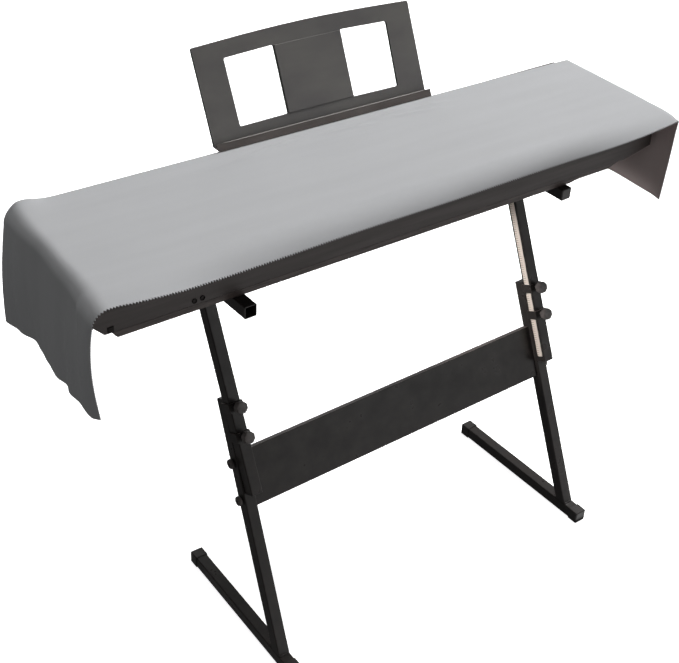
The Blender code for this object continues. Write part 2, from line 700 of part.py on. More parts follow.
def leaning_frame(side_name, side, parent):
    """One side of the stand: post, height tube, straps, knobs, side screws and scale.

    The empty lies where the front face of the height tube would meet the floor. In its
    frame, X is across, Y runs back from that face, and Z runs up along the tubes. The left
    post is turned a little in its own plane, so that its foot stands further out.
    """
    lean = empty(f"lean_{side_name}", (side * FRAME_SPACING / 2, LEAN_FOOT_Y, 0), (-STAND_LEAN, 0, 0), parent)
    splay = LEFT_POST_SPLAY if side_name == "left" else 0.0
    pivot = LEFT_POST_PIVOT if side_name == "left" else 0.0
    post = empty(f"post_place_{side_name}", (0, 0, pivot), (0, splay, 0), lean)
    slope = math.tan(STAND_LEAN)
    half = TUBE_SIDE / 2
    foot_top = FOOT_CAP_WALL + GAP + TUBE_SIDE + GAP
    post_y = TUBE_SIDE + GAP + half
    low = (foot_top / math.cos(STAND_LEAN) + slope * post_y - pivot) / math.cos(splay)
    top = POST_TOPS[side_name]
    bm = square_tube((low, slope / math.cos(splay), math.tan(splay)), (top - pivot, 0.0, 0.0))
    shade_round(piece(f"lower_post_{side_name}", bm, "stand_paint", post, (0, post_y, 0)))
    end_plug(f"post_plug_{side_name}", post, (0, post_y, top - pivot + GAP), (0, 0, 0))
    arm_bottom = PIANO_UNDERSIDE - GAP - TUBE_SIDE - GAP
    high = arm_bottom / math.cos(STAND_LEAN) + slope * half
    bm = square_tube((UPPER_TUBE_BOTTOM, 0.0, 0.0), (high, slope, 0.0))
    shade_round(piece(f"upper_tube_{side_name}", bm, "stand_paint", lean, (0, half, 0)))
    end_plug(f"tube_plug_{side_name}", lean, (0, half, UPPER_TUBE_BOTTOM - GAP), (math.pi, 0, 0))
    for step, level in enumerate(("upper", "lower")):
        middle = top - STRAP_BELOW_TOP - step * STRAP_SPACING
        u_strap(f"strap_{side_name}_{level}", lean, middle)
        clamp_knob(f"knob_{side_name}_{level}", lean, middle)
    for screw in SIDE_SCREWS:
        side_screw(f"side_screw_{side_name}_{screw['level']}", post, side, screw["height"] - pivot)
    height_scale(f"height_scale_{side_name}", lean, side, high)
    return lean


def u_strap(name, parent, height):
    """A bent steel strip round the height tube, its two legs ending on the post."""
    inner = TUBE_SIDE / 2 + STRAP_SIDE_ROOM
    outer = inner + STRAP_THICKNESS
    front = -GAP - STRAP_THICKNESS
    back = TUBE_SIDE
    outline = [
        (-outer, back),
        (-outer, front),
        (outer, front),
        (outer, back),
        (inner, back),
        (inner, -GAP),
        (-inner, -GAP),
        (-inner, back),
    ]
    bm = bmesh.new()
    low = height - STRAP_WIDTH / 2
    extrude_outline(bm, [(x, y, low) for x, y in outline], (0, 0, STRAP_WIDTH))
    strap = piece(name, bm, "stand_paint", parent)
    bm = bmesh.new()
    hole = KNOB_SCREW_DIAMETER / 2 + GAP
    add_turned(bm, [(hole, -0.006, False), (hole, 0.004, False)], 16)
    turn = (math.pi / 2, 0, 0)
    cut_with(strap, piece("strap_cutter", bm, "stand_paint", parent, (0, -GAP, height), turn))
    return strap


def clamp_knob(name, parent, height):
    """An eight-sided knob on a neck, with the screw that presses on the height tube."""
    screw = KNOB_SCREW_DIAMETER / 2
    neck = KNOB_NECK_DIAMETER / 2
    wide = KNOB_DIAMETER / 2
    start = STRAP_THICKNESS + 2 * GAP
    back = STRAP_THICKNESS + KNOB_STANDOFF
    rings = [
        (screw, GAP, False),
        (screw, start, False),
        (neck, start, False),
        (neck, back, False),
        (wide * 0.93, back, True),
        (wide, back + 0.002, True),
        (wide, back + KNOB_DEPTH - 0.002, True),
        (wide * 0.86, back + KNOB_DEPTH, True),
    ]
    bm = bmesh.new()
    add_turned(bm, rings, KNOB_LOBES * 2, -0.06)
    turn = (math.pi / 2, 0, 0)
    return piece(name, bm, "black_plastic", parent, (0, 0, height), turn)


def side_screw(name, parent, side, height):
    """A round-headed hand screw that holds the crossbar, on the outer face of the post."""
    wide = SIDE_SCREW_DIAMETER / 2
    rings = [
        (wide * 0.55, 0.0, False),
        (wide * 0.55, 0.002, False),
        (wide, 0.0026, False),
        (wide, SIDE_SCREW_DEPTH * 0.7, False),
        (wide * 0.85, SIDE_SCREW_DEPTH * 0.9, False),
        (wide * 0.5, SIDE_SCREW_DEPTH, False),
    ]
    bm = bmesh.new()
    add_turned(bm, rings, 16)
    place = (side * (TUBE_SIDE / 2 + GAP), SIDE_SCREW_BACK, height)
    made = piece(name, bm, "black_plastic", parent, place, (0, side * math.pi / 2, 0))
    shade_round(made)
    return made


def height_scale(name, parent, side, top):
    """The printed strip on the inner face of the height tube."""
    near = -side * (TUBE_SIDE / 2 + GAP)
    far = near - side * SCALE_THICKNESS
    low = (min(near, far), SCALE_FRONT_INSET, UPPER_TUBE_BOTTOM + SCALE_ENDS)
    high = (max(near, far), SCALE_FRONT_INSET + SCALE_WIDTH, top - SCALE_ENDS)
    bm = bmesh.new()
    add_box(bm, low, high)
    return piece(name, bm, "scale_print", parent)


def arm(side_name, x, parent):
    """The level tube that carries the piano, welded on the height tube."""
    low = ARM_FRONT_Y
    high = ARM_FRONT_Y + ARM_LENGTH
    z = PIANO_UNDERSIDE - GAP - TUBE_SIDE / 2
    bm = square_tube((-high, 0.0, 0.0), (-low, 0.0, 0.0))
    made = piece(f"arm_{side_name}", bm, "stand_paint", parent, (x, 0, z), (math.pi / 2, 0, 0))
    shade_round(made)
    end_plug(f"arm_plug_{side_name}_back", parent, (x, high + GAP, z), (-math.pi / 2, 0, 0))
    if side_name == "right":
        end_plug(f"arm_plug_{side_name}_front", parent, (x, low - GAP, z), (math.pi / 2, 0, 0))
    return made


def crossbar(parent):
    """A folded tray of sheet steel between the posts: face, two lips and two end flanges.

    Its left end follows the splayed post.
    """
    half = FRAME_SPACING / 2 - TUBE_SIDE / 2 - GAP
    post_face = TUBE_SIDE / 2 / math.cos(LEFT_POST_SPLAY) + GAP - FRAME_SPACING / 2
    lower_left, upper_left = (
        post_face + (height - LEFT_POST_PIVOT) * math.tan(LEFT_POST_SPLAY) for height in (CROSSBAR_BOTTOM, CROSSBAR_TOP)
    )
    lean = empty("lean_crossbar", (0, LEAN_FOOT_Y, 0), (-STAND_LEAN, 0, 0), parent)
    front = CROSSBAR_FACE
    back = CROSSBAR_FACE + CROSSBAR_DEPTH
    wall = CROSSBAR_WALL
    outer = [(lower_left, CROSSBAR_BOTTOM), (half, CROSSBAR_BOTTOM), (half, CROSSBAR_TOP), (upper_left, CROSSBAR_TOP)]
    inner = [(x - math.copysign(wall, x), z) for x, z in outer]
    middle = (CROSSBAR_BOTTOM + CROSSBAR_TOP) / 2
    inner = [(x, z - math.copysign(wall, z - middle)) for x, z in inner]
    bm = bmesh.new()
    rings = []
    for ring, y in ((inner, front + wall), (inner, back), (outer, back), (outer, front)):
        rings.append([bm.verts.new((x, y, z)) for x, z in ring])
    for below, above in zip(rings, rings[1:]):
        for i in range(4):
            j = (i + 1) % 4
            bm.faces.new((below[i], below[j], above[j], above[i]))
    bm.faces.new(rings[0])
    bm.faces.new(rings[-1])
    return piece("crossbar", bm, "stand_paint", lean)


def build():
    """Clears the scene and builds every sub-part."""
    for old in list(bpy.data.objects):
        bpy.data.objects.remove(old, do_unlink=True)
    origin = empty("origin", (-BOX_MIDDLE_X, -BOX_MIDDLE_Y, 0))
    piano = empty("piano_place", (PIANO_MIDDLE_X, 0, 0), (0, 0, PIANO_YAW), origin)
    cover_sheet(piano)
    piano_shell(piano)
    bottom_board(piano)
    music_rest(piano)
    for side_name, side in (("left", -1), ("right", 1)):
        foot(side_name, side * FRAME_SPACING / 2, origin)
        leaning_frame(side_name, side, origin)
        arm(side_name, side * FRAME_SPACING / 2, origin)
    crossbar(origin)


build()
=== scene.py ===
# %% [markdown]
# # A dust cover draped over a slim digital piano
#
# The real object is an open sheet of brushed grey cloth. It lies on the flat top of a
# slim piano, curls over the front edge, and hangs past both ends as loose flaps. The
# piano, its music rest and the leaning steel stand give the cloth its shape.
#
# The lesson first loads the solid model, which says where every part is. It then makes
# the finishes, works the cloth out with numpy, and adds the small things that a solid
# model leaves out: rounded edges, moulded knobs, sockets, weld beads and the height scale.

# %% Load the solid model
import json
import math

import bmesh
import bpy
import numpy as np
from mathutils import Matrix, Vector


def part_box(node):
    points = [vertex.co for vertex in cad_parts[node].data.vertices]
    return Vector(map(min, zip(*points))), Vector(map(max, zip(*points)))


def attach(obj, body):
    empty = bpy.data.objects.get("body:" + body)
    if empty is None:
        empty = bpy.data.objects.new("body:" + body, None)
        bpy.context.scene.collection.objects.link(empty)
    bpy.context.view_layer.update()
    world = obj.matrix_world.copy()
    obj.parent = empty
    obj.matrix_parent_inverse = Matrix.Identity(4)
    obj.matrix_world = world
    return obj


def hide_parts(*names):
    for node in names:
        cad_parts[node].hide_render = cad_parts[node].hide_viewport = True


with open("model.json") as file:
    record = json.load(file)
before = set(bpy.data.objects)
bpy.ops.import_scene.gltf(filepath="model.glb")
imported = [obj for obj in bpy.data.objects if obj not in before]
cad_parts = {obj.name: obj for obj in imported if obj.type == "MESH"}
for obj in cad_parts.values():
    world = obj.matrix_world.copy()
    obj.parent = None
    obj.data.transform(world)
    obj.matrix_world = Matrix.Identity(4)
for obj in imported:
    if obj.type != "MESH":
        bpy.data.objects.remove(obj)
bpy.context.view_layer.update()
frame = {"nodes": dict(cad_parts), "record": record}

# %% [markdown]
# ## The camera
#
# The picture was taken from the player's left, from above the piano, with the camera
# rolled by three degrees. A camera is three directions: right, up, and back. They are
# worked out from the compass angle, the tilt and the roll, and put in a matrix, so that
# no constraint has to aim it.

# %% Place the camera
CAMERA_PLACE = Vector((-1.47699, -1.74055, 2.09071))
CAMERA_COMPASS = 0.67951
CAMERA_TILT = 0.60860
CAMERA_ROLL = 0.05236
PICTURE_WIDTH = 679
FOCAL_PIXELS = 1368.70
SENSOR_MM = 36.0


def camera_turn(compass, tilt, roll):
    """Right, up and back directions of a camera.

    Forward is (sin c · cos t, cos c · cos t, −sin t). Right is level, and both right and
    up are then turned about forward by the roll.
    """
    level_part = math.cos(tilt)
    forward = Vector((math.sin(compass) * level_part, math.cos(compass) * level_part, -math.sin(tilt)))
    level = Vector((math.cos(compass), -math.sin(compass), 0.0))
    upright = level.cross(forward)
    right = level * math.cos(roll) + upright * math.sin(roll)
    up = upright * math.cos(roll) - level * math.sin(roll)
    return Matrix((right, up, -forward)).transposed()


def placed(name, data):
    """A new object of the scene that shows a mesh, a light or a camera."""
    made = bpy.data.objects.new(name, data)
    bpy.context.scene.collection.objects.link(made)
    return made


lens = bpy.data.cameras.new("camera")
lens.sensor_width = SENSOR_MM
lens.lens = FOCAL_PIXELS / PICTURE_WIDTH * SENSOR_MM
camera = placed("camera", lens)
looking = camera_turn(CAMERA_COMPASS, CAMERA_TILT, CAMERA_ROLL)
camera.matrix_world = Matrix.Translation(CAMERA_PLACE) @ looking.to_4x4()
bpy.context.scene.camera = camera
print("camera lens:", round(lens.lens, 2), "mm")

# %% [markdown]
# ## Light
#
# The top of the cloth is bright and its end flap is dark, with a narrow change between
# them, so the main light is a soft box far away on the right, half way up, and a weaker one
# hangs overhead. Small ones low on the left, in front and behind stand for the light that a
# studio's walls send back, and a narrow one under the piano reaches the height scale. Paint
# and plastic mirror the white wall behind the piano and the floor in front of it, which are
# cards that only reflections see.


# %% Light the scene
def linear(code):
    """A hex colour in linear light.

    Each channel c is c / 12.92 when small, else ((c + 0.055) / 1.055) ^ 2.4.
    """
    channels = [int(code[i : i + 2], 16) / 255 for i in (1, 3, 5)]
    return [c / 12.92 if c <= 0.04045 else ((c + 0.055) / 1.055) ** 2.4 for c in channels] + [1.0]


def aimed(place, target):
    """The turn that makes a light look from its place at its target."""
    return (Vector(target) - Vector(place)).to_track_quat("-Z", "Y").to_euler()


def soft_box(name, place, target, size, watts):
    """A square white soft light that looks from its place at its target."""
    lamp = bpy.data.lights.new(name, "AREA")
    lamp.shape = "SQUARE"
    lamp.size = size
    lamp.energy = watts
    made = placed(name, lamp)
    made.location = place
    made.rotation_euler = aimed(place, target)
    return made


soft_box("key_high_right", (6.8, 0.6, 6.6), (0.0, 0.0, 0.88), 3.5, 810.0)
soft_box("overhead", (0.3, 0.6, 8.0), (0.0, 0.0, 0.88), 5.0, 142.0)
soft_box("fill_low_left", (-4.2, -0.8, 1.30), (0.0, 0.0, 0.70), 1.0, 4.6)
soft_box("fill_front_right", (2.6, -4.2, 1.6), (0.0, 0.0, 0.7), 2.4, 28.0)
soft_box("fill_back", (1.2, 4.2, 1.8), (0.0, 0.1, 0.6), 2.4, 20.0)
for name, place, target, size, watts in (
    ("back_wall_card", (3.4, 8.0, 4.0), (0.0, 0.0, 0.4), 8.0, 75.0),
    ("front_floor_card", (1.3, -2.1, 0.01), (1.3, -2.1, 1.0), 3.6, 44.0),
):
    card = soft_box(name, place, target, size, watts)
    card.visible_camera = False
    card.visible_diffuse = False

SPOT_PLACE = (-0.25, -0.04, 0.62)
SPOT_TARGET = (0.41, -0.05, 0.48)
spot = bpy.data.lights.new("fill_under_piano", "SPOT")
spot.energy = 14.0
spot.spot_size = math.radians(36.0)
spot.spot_blend = 0.6
spot.shadow_soft_size = 0.03
under_piano = placed("fill_under_piano", spot)
under_piano.location = SPOT_PLACE
under_piano.rotation_euler = aimed(SPOT_PLACE, SPOT_TARGET)
under_piano.visible_glossy = False
under_piano.visible_camera = False

world = bpy.data.worlds.new("room")
world.use_nodes = True
background = world.node_tree.nodes["Background"]
background.inputs["Color"].default_value = linear("#FFFFFF")
background.inputs["Strength"].default_value = 0.105
bpy.context.scene.world = world
bpy.context.scene.view_settings.view_transform = "Standard"

# %% [markdown]
# ## Helpers for materials and meshes
#
# Every finish is a Principled shader with a few nodes in front of it. One small function
# adds a node, so that a finish reads as a list of what is linked to what. Every new shape
# is a grid of points computed as whole arrays, and one function turns it into a mesh.


# %% Helpers
def add_node(material, kind, inputs=None, **settings):
    """Adds one node. Settings go on the node, and an input is a value or another node's output."""
    made = material.node_tree.nodes.new(kind)
    for name, value in settings.items():
        setattr(made, name, value)
    for name, value in (inputs or {}).items():
        if isinstance(value, bpy.types.NodeSocket):
            material.node_tree.links.new(value, made.inputs[name])
        else:
            made.inputs[name].default_value = value
    return made


def new_finish(name, colour, roughness, **sockets):
    """A Principled material with its plain values set, and its shader node."""
    material = bpy.data.materials.new(name)
    material.use_nodes = True
    shader = material.node_tree.nodes["Principled BSDF"]
    shader.inputs["Base Color"].default_value = linear(colour)
    shader.inputs["Roughness"].default_value = roughness
    for socket, value in sockets.items():
        shader.inputs[socket.replace("_", " ")].default_value = value
    return material, shader


def link(material, output, shader_input):
    """Joins a node's output to one of the shader's sockets."""
    material.node_tree.links.new(output, shader_input)


def per_mm(size):
    """Texture scale for a pattern of that size in millimetres, where one unit is a metre."""
    return 1000.0 / size


def grid_faces(rows, columns, closed=False):
    """Corner numbers of the quads between the points of a grid that is stored row by row."""
    row = np.arange(rows - 1)[:, None]
    column = np.arange(columns if closed else columns - 1)[None, :]
    after = (column + 1) % columns
    this_row, next_row = row * columns, (row + 1) * columns
    quad = [this_row + column, this_row + after, next_row + after, next_row + column]
    return np.stack(np.broadcast_arrays(*quad), axis=-1).reshape(-1, 4)


POLE_MERGE = 1e-6


def mesh_of(name, points, faces):
    """A mesh from an array of points and a list of faces with any number of corners."""
    mesh = bpy.data.meshes.new(name)
    corners = [list(map(int, face)) for face in faces]
    mesh.from_pydata(np.asarray(points, float).reshape(-1, 3).tolist(), [], corners)
    return mesh


def new_piece(name, points, faces, material, sharp=None, merge=0.0):
    """A mesh at the origin with its finish, which rides on the one body.

    Edges sharper than the given angle in degrees stay sharp, and points nearer to each
    other than the merge distance, such as those of a turned piece's pole, become one.
    """
    mesh = mesh_of(name, points, faces)
    if merge:
        work = bmesh.new()
        work.from_mesh(mesh)
        bmesh.ops.remove_doubles(work, verts=work.verts, dist=merge)
        bmesh.ops.recalc_face_normals(work, faces=work.faces)
        work.to_mesh(mesh)
        work.free()
    mesh.materials.append(material)
    mesh.shade_smooth()
    if sharp is not None:
        mesh.set_sharp_from_angle(angle=math.radians(sharp))
    made = placed(name, mesh)
    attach(made, "root")
    return made


# %% [markdown]
# ## Floor and dome
#
# The floor is a plain pale sheet that glows, so that shadows on it stay faint, as in the
# photograph, and a pale dome closes the view. Light from a bright floor would reach the
# end flap and the stand from below, which stay in shade in the photograph, so the object
# neither receives light from the two sheets nor mirrors them.


# %% Floor and dome
def stage_sheet(name, points, faces, colour, glow):
    """A floor or dome that shows to the camera and sends no soft light on to the object."""
    material, shader = new_finish(name, colour, 0.9)
    shader.inputs["Emission Color"].default_value = linear(colour)
    shader.inputs["Emission Strength"].default_value = glow
    mesh = mesh_of(name, points, faces)
    mesh.materials.append(material)
    mesh.shade_smooth()
    made = placed(name, mesh)
    made.visible_diffuse = False
    made.visible_glossy = False
    made.visible_transmission = False
    return made


FLOOR_HALF = 30.0
FLOOR_DROP = 0.0002
FLOOR_GLOW = 0.95
floor_corners = FLOOR_HALF * np.array([(-1, -1, 0), (1, -1, 0), (1, 1, 0), (-1, 1, 0)]) - (0, 0, FLOOR_DROP)
stage_sheet("floor", floor_corners, [(0, 1, 2, 3)], "#FAFAFA", FLOOR_GLOW)

DOME_RADIUS = 60.0
DOME_RINGS, DOME_SPOKES = 23, 65
rise = np.radians(np.linspace(-20, 90, DOME_RINGS))[:, None]
round_about = np.radians(np.linspace(0, 360, DOME_SPOKES))[None, :]
dome_ways = [np.cos(rise) * np.cos(round_about), np.cos(rise) * np.sin(round_about), np.sin(rise)]
dome_points = DOME_RADIUS * np.stack(np.broadcast_arrays(*dome_ways), axis=-1)
dome = stage_sheet("dome", dome_points, grid_faces(DOME_RINGS, DOME_SPOKES), "#FDFDFD", 1.0)
dome.visible_shadow = False
print("floor and dome made")

# %% [markdown]
# ## Brushed polyester knit
#
# The cover is a thin knitted polyester whose face was brushed until it is matt. Brushing
# leaves a short nap, so the cloth scatters light softly and has a little sheen at low
# angles. Faint lighter and darker streaks along the sheet are painted into its colour:
# painted light and shade for the low swells and the nap's changing sheen. The loops are
# about 1.1 mm apart, too fine to show from the camera, so they only roughen the surface in
# close views. The pattern reads the sheet's own flat coordinates in metres, so it bends with
# the cloth.

# %% Cloth finish
cloth_finish, cloth_shader = new_finish("brushed_polyester_knit", "#B6B7B9", 0.95, IOR=1.45)
cloth_shader.inputs["Specular IOR Level"].default_value = 0.15
cloth_shader.inputs["Sheen Weight"].default_value = 0.12
cloth_shader.inputs["Sheen Roughness"].default_value = 0.45
KNIT_MM = 1.1
NAP_MM = 0.7
STREAK_ALONG_MM = 340.0
STREAK_ACROSS_MM = 34.0
flat_place = add_node(cloth_finish, "ShaderNodeTexCoord")
streak_scale = (per_mm(STREAK_ALONG_MM), per_mm(STREAK_ACROSS_MM), 1.0)
streak_place = add_node(
    cloth_finish, "ShaderNodeMapping", {"Vector": flat_place.outputs["UV"], "Scale": streak_scale}
)
streaks = add_node(
    cloth_finish,
    "ShaderNodeTexNoise",
    {"Vector": streak_place.outputs[0], "Scale": 1.0, "Detail": 2.0},
    noise_dimensions="2D",
)
nap = add_node(
    cloth_finish,
    "ShaderNodeTexNoise",
    {"Vector": flat_place.outputs["UV"], "Scale": per_mm(NAP_MM), "Detail": 3.0, "Roughness": 0.65},
    noise_dimensions="2D",
)
loop_place = add_node(
    cloth_finish,
    "ShaderNodeMapping",
    {"Vector": flat_place.outputs["UV"], "Scale": (per_mm(KNIT_MM), per_mm(KNIT_MM), 1.0)},
)
loops = add_node(
    cloth_finish,
    "ShaderNodeTexVoronoi",
    {"Vector": loop_place.outputs[0], "Scale": 1.0, "Randomness": 0.35},
    voronoi_dimensions="2D",
)
# The streaks mix two close greys into the base colour: painted light and shade.
tone = add_node(
    cloth_finish,
    "ShaderNodeMapRange",
    {"Value": streaks.outputs[0], "From Min": 0.30, "From Max": 0.70, "To Min": 0.0, "To Max": 1.0},
)
streaked = add_node(
    cloth_finish,
    "ShaderNodeMix",
    {0: tone.outputs[0], 6: linear("#B5B6B8"), 7: linear("#B8B9BB")},
    data_type="RGBA",
)
fuzz = add_node(
    cloth_finish,
    "ShaderNodeMapRange",
    {"Value": nap.outputs[0], "From Min": 0.25, "From Max": 0.75, "To Min": 0.94, "To Max": 1.05},
)
fuzzy = add_node(
    cloth_finish,
    "ShaderNodeMix",
    {0: 1.0, 6: streaked.outputs[2], 7: fuzz.outputs[0]},
    data_type="RGBA",
    blend_type="MULTIPLY",
)
link(cloth_finish, fuzzy.outputs[2], cloth_shader.inputs["Base Color"])
raised = add_node(
    cloth_finish, "ShaderNodeMath", {0: loops.outputs["Distance"], 1: nap.outputs[0]}, operation="ADD"
)
rough = add_node(
    cloth_finish, "ShaderNodeBump", {"Height": raised.outputs[0], "Strength": 0.55, "Distance": 0.00022}
)
link(cloth_finish, rough.outputs[0], cloth_shader.inputs["Normal"])

back_finish, back_shader = new_finish("unbrushed_polyester_knit_back", "#DACAC8", 0.95, IOR=1.45)
back_shader.inputs["Specular IOR Level"].default_value = 0.15
back_place = add_node(back_finish, "ShaderNodeTexCoord")
back_yarn = add_node(
    back_finish,
    "ShaderNodeTexNoise",
    {"Vector": back_place.outputs["UV"], "Scale": per_mm(KNIT_MM), "Detail": 2.0},
    noise_dimensions="2D",
)
back_tone = add_node(
    back_finish,
    "ShaderNodeMix",
    {0: back_yarn.outputs[0], 6: linear("#D5C3C2"), 7: linear("#E2D3D0")},
    data_type="RGBA",
)
link(back_finish, back_tone.outputs[2], back_shader.inputs["Base Color"])
print("cloth: loops", KNIT_MM, "mm, nap", NAP_MM, "mm, streaks", STREAK_ACROSS_MM, "mm wide")

# %% [markdown]
# ## Plastics and painted steel
#
# The piano and its rest are moulded ABS from a mould with a spark-eroded grain, which
# breaks up reflections. The board under the piano is foil-faced and picks up soft brownish
# smears. The stand is mild steel tube with a black powder coat: the powder melts into a
# film with a fine orange peel, a little glossier on flat faces. Caps and plugs are black
# polyethylene, and the knobs are nylon. One table holds their values, because their nodes
# are alike: a grain that is pressed into the surface, and a slow change of colour and gloss.

# %% Grained finishes
GRAINED = {
    "moulded_abs_piano": {
        "colour": "#4E4745", "shade": "#433D3B", "roughness": (0.36, 0.48), "mirror": 0.25, "grain_mm": 0.9,
        "depth_mm": 0.03, "smear_mm": (260.0, 30.0, 16.0),
    },
    "foil_faced_board": {
        "colour": "#5A504C", "shade": "#3F3836", "roughness": (0.30, 0.50), "mirror": 0.25, "grain_mm": 1.2,
        "depth_mm": 0.03, "smear_mm": (70.0, 30.0, 5.0),
    },
    "moulded_abs_rest": {
        "colour": "#6D6B68", "shade": "#636160", "roughness": (0.40, 0.52), "mirror": 0.30, "grain_mm": 0.8,
        "depth_mm": 0.04, "smear_mm": (120.0, 60.0, 60.0),
    },
    "moulded_abs_ledge": {
        "colour": "#5F5956", "shade": "#534D4A", "roughness": (0.40, 0.52), "mirror": 0.30, "grain_mm": 0.8,
        "depth_mm": 0.04, "smear_mm": (90.0, 20.0, 20.0),
    },
    "black_powder_coat": {
        "colour": "#383432", "shade": "#2C2928", "roughness": (0.26, 0.38), "mirror": 0.26, "grain_mm": 1.3,
        "depth_mm": 0.03, "smear_mm": (40.0, 40.0, 40.0),
    },
    "black_polyethylene": {
        "colour": "#3A3635", "shade": "#2E2B2A", "roughness": (0.30, 0.42), "mirror": 0.30, "grain_mm": 0.7,
        "depth_mm": 0.03, "smear_mm": (15.0, 15.0, 15.0),
    },
    "moulded_rubber_bush": {
        "colour": "#2C2726", "shade": "#231F1E", "roughness": (0.55, 0.70), "mirror": 0.15, "grain_mm": 0.7,
        "depth_mm": 0.03, "smear_mm": (12.0, 12.0, 12.0),
    },
    # Pale tone for the rod on the lip's top edge: a painted highlight.
    "painted_highlight_abs": {
        "colour": "#A7A29F", "shade": "#938E8B", "roughness": (0.30, 0.40), "mirror": 0.40, "grain_mm": 0.8,
        "depth_mm": 0.02, "smear_mm": (60.0, 20.0, 20.0),
    },
    # Pale tone for faces that look up the stand: a painted highlight for the light falling on them.
    "powder_coat_painted_highlight": {
        "colour": "#7A706C", "shade": "#6A615E", "roughness": (0.30, 0.42), "mirror": 0.30, "grain_mm": 1.3,
        "depth_mm": 0.03, "smear_mm": (40.0, 20.0, 20.0),
    },
    # Dark tone for the rest's narrow edges that look left or down: painted shade.
    "abs_edge_painted_shade": {
        "colour": "#35322F", "shade": "#2B2826", "roughness": (0.50, 0.62), "mirror": 0.20, "grain_mm": 0.8,
        "depth_mm": 0.03, "smear_mm": (60.0, 20.0, 20.0),
    },
    "moulded_nylon_knob": {
        "colour": "#645E5C", "shade": "#524D4B", "roughness": (0.34, 0.48), "mirror": 0.40, "grain_mm": 0.6,
        "depth_mm": 0.03, "smear_mm": (9.0, 9.0, 9.0),
    },
}


def grained_finish(name, colour, shade, roughness, mirror, grain_mm, depth_mm, smear_mm):
    """Two colours mixed by a slow noise, gloss from the same noise, and a fine grain as bump."""
    material, shader = new_finish(name, colour, roughness[0], IOR=1.5, Specular_IOR_Level=mirror)
    place = add_node(material, "ShaderNodeTexCoord").outputs["Object"]
    slow_scale = [per_mm(size) for size in smear_mm]
    slow_place = add_node(material, "ShaderNodeMapping", {"Vector": place, "Scale": slow_scale})
    slow = add_node(
        material, "ShaderNodeTexNoise", {"Vector": slow_place.outputs[0], "Scale": 1.0, "Detail": 3.0}
    )
    share = add_node(
        material, "ShaderNodeMapRange", {"Value": slow.outputs[0], "From Min": 0.32, "From Max": 0.68}
    )
    tones = {0: share.outputs[0], 6: linear(shade), 7: linear(colour)}
    mixed = add_node(material, "ShaderNodeMix", tones, data_type="RGBA")
    link(material, mixed.outputs[2], shader.inputs["Base Color"])
    dull_to_smooth = {"From Min": 0.3, "From Max": 0.7, "To Min": roughness[1], "To Max": roughness[0]}
    gloss = add_node(material, "ShaderNodeMapRange", {"Value": slow.outputs[0], **dull_to_smooth})
    link(material, gloss.outputs[0], shader.inputs["Roughness"])
    grain = add_node(
        material, "ShaderNodeTexNoise", {"Vector": place, "Scale": per_mm(grain_mm), "Detail": 2.0}
    )
    depth = depth_mm / 1000.0
    pressed = add_node(
        material, "ShaderNodeBump", {"Height": grain.outputs[0], "Strength": 0.5, "Distance": depth}
    )
    link(material, pressed.outputs[0], shader.inputs["Normal"])
    return material


finishes = {name: grained_finish(name, **values) for name, values in GRAINED.items()}
print("finishes:", ", ".join(finishes))

# %% [markdown]
# ## Dress the solid parts
#
# Tubes, plugs and caps already have their true shape, so they keep their solid mesh and
# only get a finish. A part whose edges catch the light gets a softened copy: corners are
# merged, and a bevel of a fraction of a millimetre rounds every edge, as a mould or a
# press brake does. Faces of the crossbar and the straps that look up the stand get a pale
# finish, a painted highlight for the light that falls on their tops. Narrow edges of the
# rest that look left or down get a darker and more matt finish than its face: painted shade
# that draws dark lines round its windows and its raised middle field.

# %% Finishes for the solid parts
FINISH_OF_SLOT = {
    "piano_plastic": finishes["moulded_abs_piano"],
    "rest_plastic": finishes["moulded_abs_rest"],
    "stand_paint": finishes["black_powder_coat"],
    "black_plastic": finishes["black_polyethylene"],
}
for part in frame["record"]["subparts"]:
    if part["material_slot"] in FINISH_OF_SLOT:
        solid = frame["nodes"][part["node"]]
        solid.data.materials.clear()
        solid.data.materials.append(FINISH_OF_SLOT[part["material_slot"]])
frame["nodes"]["piano_bottom_board"].data.materials[0] = finishes["foil_faced_board"]

SAME_CORNER = 1e-5
FLAT_WITHIN = math.radians(0.5)
ROUNDED_ABOVE = math.radians(30)
LOOKS_ALONG = 0.8


def softened(node, name, radius, material, steps=2, sharp=30, facing=()):
    """A copy of a solid part with merged corners, flat faces made whole, and every edge rounded.

    Edges sharper than the given angle in degrees don't blend their faces' shading. Faces that
    look along a direction in facing get the finish given with it, where the cosine between
    the two is over LOOKS_ALONG.
    """
    work = bmesh.new()
    work.from_mesh(frame["nodes"][node].data)
    bmesh.ops.remove_doubles(work, verts=work.verts, dist=SAME_CORNER)
    bmesh.ops.dissolve_limit(work, angle_limit=FLAT_WITHIN, verts=work.verts, edges=work.edges)
    mesh = bpy.data.meshes.new(name)
    work.to_mesh(mesh)
    work.free()
    mesh.materials.append(material)
    mesh.shade_smooth()
    mesh.set_sharp_from_angle(angle=math.radians(sharp))
    normals = np.zeros(len(mesh.polygons) * 3)
    mesh.polygons.foreach_get("normal", normals)
    finish_number = np.zeros(len(mesh.polygons), dtype=np.int32)
    for number, (direction, finish) in enumerate(facing, 1):
        mesh.materials.append(finish)
        finish_number[normals.reshape(-1, 3) @ np.array(direction) > LOOKS_ALONG] = number
    mesh.polygons.foreach_set("material_index", finish_number)
    made = placed(name, mesh)
    bevel = made.modifiers.new("rounded edges", "BEVEL")
    bevel.width = radius
    bevel.segments = steps
    bevel.limit_method = "ANGLE"
    bevel.angle_limit = ROUNDED_ABOVE
    bevel.harden_normals = True
    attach(made, "root")
    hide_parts(node)
    return made


